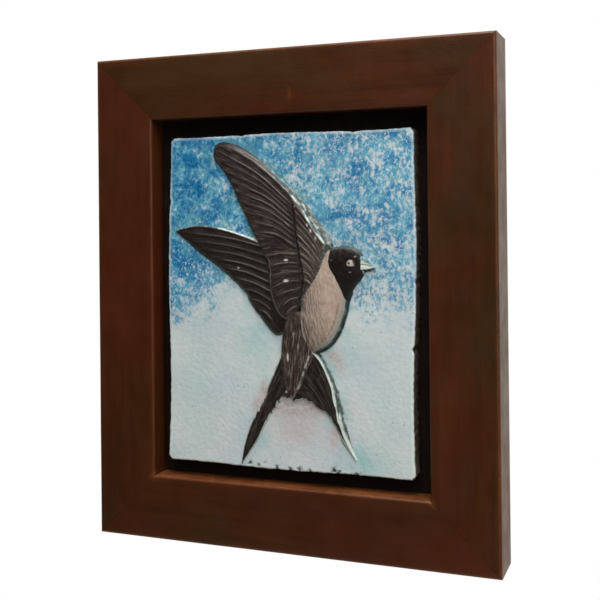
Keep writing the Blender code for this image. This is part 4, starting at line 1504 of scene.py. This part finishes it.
@dataclass
class ReliefTile:
    """The ceramic tile.

    Its face is a grid that is fine on the swallow and the rim and coarse on bare ground. Lengths are in
    millimetres and the angle in degrees. A wave is its sway, length and start, and a pit or nick is its
    x and z and its size.
    """

    swallow: Swallow
    width: float = 158.2
    height: float = 201.4
    thickness: float = 11.0
    drop: float = 1.0
    skew: float = 2.2
    corner: float = 3.0
    edge: float = 1.2
    cell: float = 0.405
    block: int = 3
    clearance: float = 0.02
    side_rows: int = 7
    rim_blocks: int = 2
    fine_reach: float = 1.5
    cut_reach: float = 8.0
    cut_power: int = 6
    side_wave: tuple[float, float, float] = (0.8, 24, 0.6)
    end_wave: tuple[float, float, float] = (0.4, 17, 2.0)
    cut_in: float = 0.3
    nick_spread: float = 3.5
    pit_depth: float = 0.6
    pit_spread: float = 1.8
    unevenness: float = 0.1
    sharp_angle: float = 40
    pits: list[tuple[float, float, float]] = field(default_factory=lambda: [
        (-24.9, -98.6, 0.9), (-19, -100, 0.8), (-15, -97.8, 0.7), (-7.2, -100.9, 1.1), (1.6, -101, 1.2),
        (7.3, -100.3, 1.0), (14, -101.2, 1.0), (29.1, -99, 1.4), (31.5, -101, 1.3), (43, -100.6, 1.0)
    ])
    nicks: list[tuple[float, float, float]] = field(default_factory=lambda: [
        (80, 12, 0.9), (79, -26, 1.1), (-78, 60, 0.8), (42, 101, 0.8), (-30, 101, 0.9), (-60, -102, 0.6)
    ])

    def grid(self) -> tuple[np.ndarray, np.ndarray]:
        """The face's plain grid: whole blocks of cells over its width and height.

        Returns:
            The points' x and z.
        """
        columns = round(self.width / self.cell / self.block) * self.block
        rows = round(self.height / self.cell / self.block) * self.block
        x = np.linspace(-self.width / 2, self.width / 2, columns + 1)
        z = np.linspace(-self.height / 2, self.height / 2, rows + 1)
        return np.meshgrid(x, z)

    def past_corners(self, x: np.ndarray, z: np.ndarray) -> tuple[np.ndarray, np.ndarray]:
        """How far each point lies out past the middle of the nearest round corner, each way."""
        return np.abs(x) - (self.width / 2 - self.corner), np.abs(z) - (self.height / 2 - self.corner)

    def inward(self, x: np.ndarray, z: np.ndarray) -> np.ndarray:
        """Distance in from the plain outline, a rectangle with round corners.

        Args:
            x: The points' places to the right.
            z: The points' places upward.

        Returns:
            The distance at each point.
        """
        past_x, past_z = self.past_corners(x, z)
        outside = np.hypot(np.maximum(past_x, 0), np.maximum(past_z, 0))
        return self.corner - outside - np.minimum(np.maximum(past_x, past_z), 0)

    def rounded(self, x: np.ndarray, z: np.ndarray) -> tuple[np.ndarray, np.ndarray]:
        """Moves the grid's square corners onto round ones.

        In a corner's square, each place is drawn in by its larger part over its length.

        Args:
            x: The points' places to the right.
            z: The points' places upward.

        Returns:
            Both after the move.
        """
        past_x, past_z = (np.maximum(past, 0) for past in self.past_corners(x, z))
        length = np.maximum(np.hypot(past_x, past_z), 1e-9)
        pull = np.where((past_x > 0) & (past_z > 0), np.maximum(past_x, past_z) / length, 1)
        return x - np.sign(x) * past_x * (1 - pull), z - np.sign(z) * past_z * (1 - pull)

    def hand_cut(self, x: np.ndarray, z: np.ndarray) -> tuple[np.ndarray, np.ndarray]:
        """Skews the outline, makes its sides wander and nicks them, fading out toward the middle.

        Args:
            x: The points' places to the right.
            z: The points' places upward.

        Returns:
            Both after the cut.
        """
        near = ease(1 - self.inward(x, z) / self.cut_reach)
        flat = np.stack([x.ravel(), z.ravel()], axis=1)
        rough = (0.1 * ripple(flat, 9, 21) + 0.08 * ripple(flat, 3, 22)).reshape(x.shape)
        dents = sum(
            depth * np.exp(-((x - a) ** 2 + (z - b) ** 2) / self.nick_spread) for a, b, depth in self.nicks
        )
        cut = rough + self.cut_in + dents
        shifts = []
        for out, half, other, (sway, length, start) in (
            (x, self.width / 2, z, self.side_wave), (z, self.height / 2, x, self.end_wave),
        ):
            share = np.clip(out / half, -1, 1)
            at_edge = near * np.abs(share) ** self.cut_power * np.sign(out)
            shifts.append(sway * np.sin(other / length + start) * share - at_edge * cut)
        return x + self.skew * z / self.height + shifts[0], z + shifts[1] - self.drop

    def build(self) -> bpy.types.Object:
        """Makes the tile and stands it in the node's place.

        Returns:
            The finished tile.
        """
        back_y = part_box("relief_tile")[1].y
        face_y = back_y - self.thickness * MM
        centre_z = (CAD_BOX[0].z + CAD_BOX[1].z) / 2

        plain_x, plain_z = self.grid()
        inward = self.inward(plain_x, plain_z).ravel()
        x, z = self.hand_cut(*self.rounded(plain_x, plain_z))
        relief = Relief(self.swallow, x, z, self.cell)
        faces, kept, ring = self.face_mesh(relief.foot.reshape(x.shape))
        pits = self.pit_share(relief.points)
        rise = relief.height - self.edge_drop(inward) - self.pit_depth * pits
        rise = rise + self.unevenness * ripple(relief.points, 60, 31) - self.unevenness
        rise = np.minimum(rise, (face_y - CAD_BOX[0].y) / MM - self.clearance)
        front = np.stack([x.ravel() * MM, face_y - rise * MM, centre_z + z.ravel() * MM], axis=1)[kept]
        verts, faces = self.walls(front, faces, ring, back_y)
        sheet = Sheet("relief_tile_glazed", verts, faces)
        added = np.zeros(len(verts) - len(front))
        for name, values in {**relief.values, "rim": bump(inward - 0.9, 1.5), "pit": pits}.items():
            sheet.value(name, np.concatenate([values[kept], added]))
        sheet.value("side", np.concatenate([ease(1 - inward / 0.35)[kept], added + 1]))
        sheet.place("barbs", np.concatenate([relief.barbs[kept], np.zeros((len(added), 3))]))
        sheet.shade(self.sharp_angle)
        return sheet.finish(GlazedClay().material(), "glazed_ceramic", "relief_tile")

    def edge_drop(self, inward: np.ndarray) -> np.ndarray:
        """How far the rounded edge lies below the face: a quarter circle in from the outline."""
        share = np.clip(inward / self.edge, 0, 1)
        return self.edge * (1 - np.sqrt(1 - (1 - share) ** 2))

    def pit_share(self, points: Points) -> np.ndarray:
        """Pinholes in the glaze along the bottom edge.

        Args:
            points: Places on the drawing.

        Returns:
            A share of 0 to 1 at each place.
        """
        wander = 1 + 0.35 * ripple(points, 2.5, 41)
        share = np.zeros(len(points))
        for x, z, size in self.pits:
            off = np.hypot(points[:, 0] - x, points[:, 1] - z) * wander
            share = np.maximum(share, bump(off, self.pit_spread * size))
        return share

    def face_mesh(self, foot: np.ndarray) -> tuple[np.ndarray, np.ndarray, np.ndarray]:
        """The face's triangles.

        A block near the swallow or the rim keeps its cells, and any other becomes two triangles. Where the
        two meet, the fine side's points between corners move to the nearest corner, so no gap opens.

        Args:
            foot: Each grid point's distance from the foot of the swallow's walls.

        Returns:
            Triangles of kept points, the kept points' places in the grid, and the border in order.
        """
        k = self.block
        rows, columns = (count // k for count in (foot.shape[0] - 1, foot.shape[1] - 1))
        fine = foot[1::k, 1::k][:rows, :columns] < self.fine_reach
        rim = self.rim_blocks
        fine[:rim + 1], fine[-rim:], fine[:, :rim], fine[:, -rim:] = True, True, True, True
        number = np.arange(foot.size).reshape(foot.shape)
        padded = np.pad(~fine, 1)
        beside_row = padded[:-1, 1:-1] | padded[1:, 1:-1]
        beside_column = padded[1:-1, :-1] | padded[1:-1, 1:]
        for step in range(1, k):
            corner = round(step / k) * k
            along_row = number[::k, corner::k][:, :columns]
            number[::k, step::k] = np.where(beside_row, along_row, number[::k, step::k])
            along_column = number[corner::k, ::k][:rows]
            number[step::k, ::k] = np.where(beside_column, along_column, number[step::k, ::k])
        cells = np.repeat(np.repeat(fine, k, axis=0), k, axis=1)
        faces = np.concatenate([self.split(number, cells), self.split(number[::k, ::k], ~fine)])
        a, b, c = faces.T
        faces = faces[(a != b) & (b != c) & (c != a)]
        kept = np.unique(faces)
        border = np.concatenate([number[0, :-1], number[:-1, -1], number[-1, :0:-1], number[:0:-1, 0]])
        return np.searchsorted(kept, faces), kept, np.searchsorted(kept, border)

    @staticmethod
    def split(number: np.ndarray, chosen: np.ndarray) -> np.ndarray:
        """Two triangles for each chosen cell of a grid of point numbers.

        Args:
            number: The grid of point numbers.
            chosen: Which cells are split.

        Returns:
            The triangles.
        """
        corners = (number[:-1, :-1], number[:-1, 1:], number[1:, 1:], number[1:, :-1])
        a, b, c, d = (corner[chosen] for corner in corners)
        return np.concatenate([np.stack([a, b, c], axis=1), np.stack([a, c, d], axis=1)])

    def walls(self, front: Points, faces: np.ndarray, ring: np.ndarray, back_y: float) -> tuple[Points, list]:
        """Adds rough side walls from the face's border to the back, and the back.

        Each row repeats the border, drawn in a little by a rough field, and the last is closed by one face.

        Args:
            front: The face's points.
            faces: The face's triangles.
            ring: The border's point numbers in order.
            back_y: Where the back lies.

        Returns:
            All points and all faces.
        """
        border = front[ring]
        tangent = np.roll(border, -1, axis=0) - np.roll(border, 1, axis=0)
        inward = np.stack([-tangent[:, 2], np.zeros(len(ring)), tangent[:, 0]], axis=1)
        inward /= np.linalg.norm(inward, axis=1)[:, None]
        rows, points, all_faces = [ring], [front], faces.tolist()
        for share in np.arange(1, self.side_rows + 1) / self.side_rows:
            row = border.copy()
            row[:, 1] += (back_y - border[:, 1]) * share
            rough = 0.2 + 0.12 * ripple(row / MM, 5, 51) + 0.1 * ripple(row / MM, 1.8, 52)
            points.append(row + inward * (rough * MM * min(1, 3 * share))[:, None])
            rows.append(len(front) + len(ring) * (len(rows) - 1) + np.arange(len(ring)))
        for near, far in zip(rows, rows[1:]):
            quads = np.stack([near, far, np.roll(far, -1), np.roll(near, -1)], axis=1)
            all_faces += quads.tolist()
        all_faces.append(rows[-1][::-1].tolist())
        return np.vstack(points), all_faces


@dataclass
class WoodenFrame:
    """Four mitred rails with rounded front edges and a rebate behind.

    Lengths are in metres and the angle in degrees.
    """

    rail_width: float = 39.4 * MM
    lip_depth: float = 16 * MM
    rebate_width: float = 8 * MM
    arris: float = 2 * MM
    inner_arris: float = 1.6 * MM
    soft: float = 0.5 * MM
    joint: float = 0.05 * MM
    wave: float = 0.07 * MM
    wave_length: float = 0.07
    run_step: float = 3 * MM
    arc_steps: int = 5
    steps_along: int = 110
    pocket_depth: float = 3.2 * MM
    pocket_margin: float = 3 * MM
    pilot_radius: float = 1 * MM
    pilot_depth: float = 13 * MM
    sharp_angle: float = 35
    lit_ledge_reach: float = 0.3 * MM
    corner_rubs: tuple[tuple[int, float], ...] = ((-1, 5 * MM), (1, 3.5 * MM))
    scratch_place: tuple[float, float] = (5.7 * MM, 120.5 * MM)
    scratch_size: tuple[float, float] = (0.8 * MM, 6 * MM)

    def __post_init__(self) -> None:
        """Takes the outer size from the frame."""
        low, high = CAD_BOX
        self.half_width, self.half_height = (high.x - low.x) / 2, (high.z - low.z) / 2
        self.depth = high.y - low.y
        self.centre = np.array([0, 0, (high.z + low.z) / 2])

    def section(self) -> Points:
        """The rail's section as (distance from the outer edge, depth), a ring with rounded corners.

        Each corner is replaced by an arc between its two sides, and the straight runs get even steps.

        Returns:
            The ring's points.
        """
        wide, deep = self.rail_width, self.depth
        rebate_y = -deep + self.lip_depth
        corners = [
            ((0, 0), self.soft), ((0, -deep), self.arris), ((wide, -deep), self.inner_arris),
            ((wide, rebate_y), self.soft), ((wide - self.rebate_width, rebate_y), self.soft),
            ((wide - self.rebate_width, 0), self.soft),
        ]
        ring = []
        places = [np.array(place, float) for place, _ in corners]
        for index, (_, radius) in enumerate(corners):
            here, before, after = places[index], places[index - 1], places[(index + 1) % len(places)]
            come, go = (side / np.linalg.norm(side) for side in (here - before, after - here))
            turns = np.linspace(0, math.pi / 2, max(3, round(radius / MM * self.arc_steps)))
            start = here - come * radius
            arc = [start + radius * (come * math.sin(t) + go * (1 - math.cos(t))) for t in turns]
            end, next_radius = arc[-1], corners[(index + 1) % len(corners)][1]
            run = np.linalg.norm(after - go * next_radius - end)
            count = max(1, round(run / self.run_step))
            ring += arc + [end + go * run * step / count for step in range(1, count)]
        return np.array(ring)

    def rail(self, name: str, outward: float, half_length: float, quarter: int) -> bpy.types.Object:
        """One rail: the section carried along it, each end cut back with its distance from the outer edge.

        Args:
            name: The side's name.
            outward: From the frame's centre to the outer edge.
            half_length: Half the rail's outer length.
            quarter: How many quarter turns from the top.

        Returns:
            The finished rail.
        """
        w, y = self.section().T
        share = np.linspace(-1, 1, self.steps_along + 1)[:, None]
        along = share * (half_length - w - self.joint)
        depth = np.broadcast_to(y, along.shape)
        rings = np.stack([along, depth, np.broadcast_to(outward - w, along.shape)], axis=2)
        places = rings.reshape(-1, 3)
        swell = self.wave * (1 + np.clip(ripple(places + quarter, self.wave_length, 61), -1, 1)) / 2
        face = np.clip((-y - self.depth + self.arris * 2) / self.arris, 0, 1)
        places = places + np.stack([0 * swell, swell * np.tile(face, len(share)), 0 * swell], axis=1)
        count = len(w)
        i, k = np.meshgrid(np.arange(self.steps_along), np.arange(count), indexing="ij")
        start, onward = i * count + k, i * count + (k + 1) % count
        quads = np.stack([start, onward, onward + count, start + count], axis=-1).reshape(-1, 4)
        last = self.steps_along * count
        faces = quads.tolist() + [list(range(count))[::-1], list(range(last, last + count))]
        turn = np.array(Matrix.Rotation(quarter * math.pi / 2, 3, "Y"))
        sheet = Sheet(f"rail_{name}_stained", places @ turn.T + self.centre, faces)
        if name == "top":
            self.let_in_hanger(sheet)
        self.dress(sheet, turn, outward, quarter)
        sheet.shade(self.sharp_angle)
        return sheet.finish(self.wood, "stained_wood", f"frame_rail_{name}")

    def let_in_hanger(self, sheet: Sheet) -> None:
        """Cuts the hanger's pocket and its nails' holes in the rail's back with one Boolean.

        Args:
            sheet: The top rail.
        """
        low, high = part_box("sawtooth_hanger")
        size = Vector(high - low) + Vector((2 * self.pocket_margin, 0, 2 * self.pocket_margin))
        body = bmesh.new()
        shape = Matrix.Diagonal((size.x, 2 * self.pocket_depth, size.z, 1))
        bmesh.ops.create_cube(body, size=1, matrix=shape)
        for node in ("hanger_nail_left", "hanger_nail_right"):
            nail_low, nail_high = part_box(node)
            middle = (nail_low + nail_high) / 2
            place = Matrix.Translation((middle.x, 0, middle.z)) @ Matrix.Rotation(math.pi / 2, 4, "X")
            bmesh.ops.create_cone(
                body, cap_ends=True, segments=24, radius1=self.pilot_radius, radius2=self.pilot_radius,
                depth=2 * (self.pilot_depth + self.pocket_depth), matrix=place,
            )
        mesh = bpy.data.meshes.new("hanger cutter")
        body.to_mesh(mesh)
        body.free()
        cutter = stand("hanger cutter", mesh)
        cut = sheet.piece.modifiers.new("hanger pocket", "BOOLEAN")
        cut.object = cutter
        cut.use_self = True
        view = bpy.context.evaluated_depsgraph_get()
        sheet.mesh = bpy.data.meshes.new_from_object(sheet.piece.evaluated_get(view))
        sheet.piece.modifiers.clear()
        sheet.piece.data = sheet.mesh
        bpy.data.objects.remove(cutter)

    def dress(self, sheet: Sheet, turn: np.ndarray, outward: float, quarter: int) -> None:
        """Stores the grain's coordinates, the worn places and a painted highlight on the bottom rail's lit
        ledge, from where each point lies in its rail.

        Args:
            sheet: The rail.
            turn: The rail's turn from the top.
            outward: From the frame's centre to the outer edge.
            quarter: How many quarter turns from the top.
        """
        count = len(sheet.mesh.vertices)
        places = np.empty(count * 3, np.float32)
        sheet.mesh.vertices.foreach_get("co", places)
        places = places.reshape(-1, 3).astype(float)
        along, y, up = ((places - self.centre) @ turn).T
        w = outward - up
        grain = np.stack([along + 0.61 * quarter, w + 0.07 * quarter, y], axis=1)
        outer = np.hypot(w, y + self.depth)
        inner = np.hypot(w - self.rail_width, y + self.depth)
        arris = np.maximum(bump(outer - 0.6 * MM, 1.8 * MM) * 0.7, bump(inner - 0.5 * MM, 1.5 * MM) * 0.4)
        # painted highlight: the bottom rail's upward inner face, lit from above, is stored as full wear and
        # gets the rubbed colour
        if quarter == 2:
            arris = np.maximum(arris, (np.abs(w - self.rail_width) < self.lit_ledge_reach).astype(float))
        sheet.place("grain", grain)
        sheet.value("arris", np.maximum(arris, self.corner_wear(places)))
        sheet.value("scratch", self.scratches(places))

    def corner_wear(self, places: Points) -> np.ndarray:
        """Rubbed spots where the inner edges meet at the two lower corners.

        Args:
            places: The rail's points.

        Returns:
            Their wear.
        """
        inner_x, inner_z = self.half_width - self.rail_width, self.half_height - self.rail_width
        x, y, z = (places - self.centre).T
        wear = np.zeros(len(places))
        for side, reach in self.corner_rubs:
            gap = np.hypot(np.hypot(x - side * inner_x, z + inner_z), y + self.depth)
            wear = np.maximum(wear, bump(gap, reach))
        return wear

    def scratches(self, places: Points) -> np.ndarray:
        """One short pale scratch across the top rail's face.

        Args:
            places: The rail's points.

        Returns:
            The scratch's strength at each.
        """
        x, y, z = (places - self.centre).T
        on_face = y < -self.depth + 0.5 * MM
        (at_x, at_z), (wide, high) = self.scratch_place, self.scratch_size
        return 0.5 * bump(x - at_x, wide) * bump(z - at_z, high) * on_face

    def build(self) -> list[bpy.types.Object]:
        """Makes the four rails.

        Returns:
            The finished rails.
        """
        self.wood = StainedWood().material()
        upright, level = (self.half_width, self.half_height), (self.half_height, self.half_width)
        sides = (("top", level, 0), ("right", upright, 1), ("bottom", level, 2), ("left", upright, 3))
        return [self.rail(name, *sizes, quarter) for name, sizes, quarter in sides]


@dataclass
class Hardware:
    """The board, the hanger plate and its nails, whose shapes are the frame's own."""

    def build(self) -> None:
        """Gives each node its finish."""
        back_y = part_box("backing_board")[1].y
        steel = ZincSteel().material()
        finishes = {
            "backing_board": BlackBoard(back_y=back_y).material(),
            "sawtooth_hanger": steel,
            "hanger_nail_left": steel,
            "hanger_nail_right": steel,
        }
        for node, material in finishes.items():
            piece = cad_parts[node]
            piece.data.materials.clear()
            piece.data.materials.append(material)
            LOG.info("%s: dressed", node)


@dataclass(frozen=True)
class Lamp:
    """A square soft light, with its place and size in metres and its power in watts."""

    name: str
    place: tuple[float, float, float]
    size: float
    power: float
    colour: tuple[float, float, float]

    def light(self, target: Vector) -> None:
        """Makes the lamp and turns it to a target.

        Args:
            target: What it faces.
        """
        data = bpy.data.lights.new(self.name, "AREA")
        data.size, data.energy, data.color = self.size, self.power, self.colour
        turn = (target - Vector(self.place)).to_track_quat("-Z", "Y").to_matrix().to_4x4()
        stand(self.name, data).matrix_world = Matrix.Translation(self.place) @ turn


@dataclass
class Studio:
    """The photograph's camera, a pale floor and soft light, in metres, millimetres of lens and degrees."""

    lens: float = 58.58
    sensor: float = 36.0
    shift: tuple[float, float] = (-0.0098, -0.1436)
    camera_place: tuple[float, float, float] = (0.2192, -0.5645, -0.0861)
    yaw: float = 20.9218
    pitch: float = -0.04527
    roll: float = -0.64114
    floor_drop: float = 0.75
    floor_size: float = 0.9
    floor_ahead: float = 0.35
    floor_colour: Colour = paint(205, 205, 203)
    floor_roughness: float = 0.8
    warm: Colour = (1.0, 0.9, 0.79, 1.0)
    lamps: tuple[Lamp, ...] = (
        Lamp("key", (0.5, -0.7, 0.9), 0.9, 14.6, (0.98, 1, 0.99)),
        Lamp("top", (0.1, -0.25, 0.8), 0.5, 7.5, (1, 0.96, 0.9)),
        Lamp("fill", (0.95, -0.8, 0.1), 0.6, 3.0, (0.95, 0.98, 1)),
    )

    def camera(self) -> None:
        """The camera: its axes are the lens's right, up and back after yaw, pitch and roll."""
        turns = ((self.yaw, "Y"), (self.pitch, "X"), (self.roll, "Z"))
        yaw, pitch, roll = (Matrix.Rotation(math.radians(angle), 3, axis) for angle, axis in turns)
        right, down, ahead = yaw @ pitch @ roll @ Matrix(((1, 0, 0), (0, 0, -1), (0, 1, 0)))
        data = bpy.data.cameras.new("camera")
        data.lens, data.sensor_width = self.lens, self.sensor
        data.shift_x, data.shift_y = self.shift
        data.clip_start, data.clip_end = 0.01, 50
        camera = stand("camera", data)
        axes = Matrix((right, -down, -ahead)).transposed()
        camera.matrix_world = Matrix.Translation(self.camera_place) @ axes.to_4x4()
        bpy.context.scene.camera = camera

    def floor(self) -> None:
        """A wide, pale floor below the hanging panel."""
        low, _ = CAD_BOX
        body = bmesh.new()
        bmesh.ops.create_grid(body, x_segments=2, y_segments=2, size=self.floor_size)
        mesh = bpy.data.meshes.new("floor")
        body.to_mesh(mesh)
        body.free()
        mesh.transform(Matrix.Translation((0, -self.floor_ahead, low.z - self.floor_drop)))
        pale = bpy.data.materials.new("pale floor")
        pale.use_nodes = True
        shader = pale.node_tree.nodes["Principled BSDF"]
        shader.inputs["Base Color"].default_value = self.floor_colour
        shader.inputs["Roughness"].default_value = self.floor_roughness
        mesh.materials.append(pale)
        stand("floor", mesh)

    def surroundings(self) -> None:
        """White to the camera; as light, bright behind, softer above, and dark in front and below."""
        world = bpy.data.worlds.new("studio")
        bpy.context.scene.world = world
        world.use_nodes = True
        desk = Desk(world.node_tree)
        world.node_tree.nodes.clear()
        heading = desk.put("ShaderNodeTexCoord").outputs["Generated"]
        behind = desk.step(desk.part(heading, "Y"), -0.1, 0.7, 0.03, 1.0)
        above = desk.step(desk.part(heading, "Z"), 0.0, 0.9, 0.0, 0.5)
        warm = {"Strength": desk.maths("ADD", behind, above), "Color": self.warm}
        light = desk.put("ShaderNodeBackground", {}, warm)
        seen = desk.put("ShaderNodeBackground", {}, {"Strength": 1.0, "Color": (1, 1, 1, 1)})
        to_camera = desk.put("ShaderNodeLightPath").outputs["Is Camera Ray"]
        both = desk.put("ShaderNodeMixShader", {}, {0: to_camera, 1: light.outputs[0], 2: seen.outputs[0]})
        desk.put("ShaderNodeOutputWorld", {}, {0: both.outputs[0]})

    def build(self) -> None:
        """Sets up the camera, floor and light, with plain display colours."""
        self.camera()
        self.floor()
        self.surroundings()
        for lamp in self.lamps:
            lamp.light((CAD_BOX[0] + CAD_BOX[1]) / 2)
        bpy.context.scene.view_settings.view_transform = "Standard"


def main() -> None:
    """Builds the panel piece by piece, then the studio, logging each new piece's face count."""
    logging.basicConfig(level=logging.INFO, format="%(message)s")
    WoodenFrame().build()
    ReliefTile(Swallow()).build()
    Hardware().build()
    Studio().build()


if __name__ == "__main__":
    main()
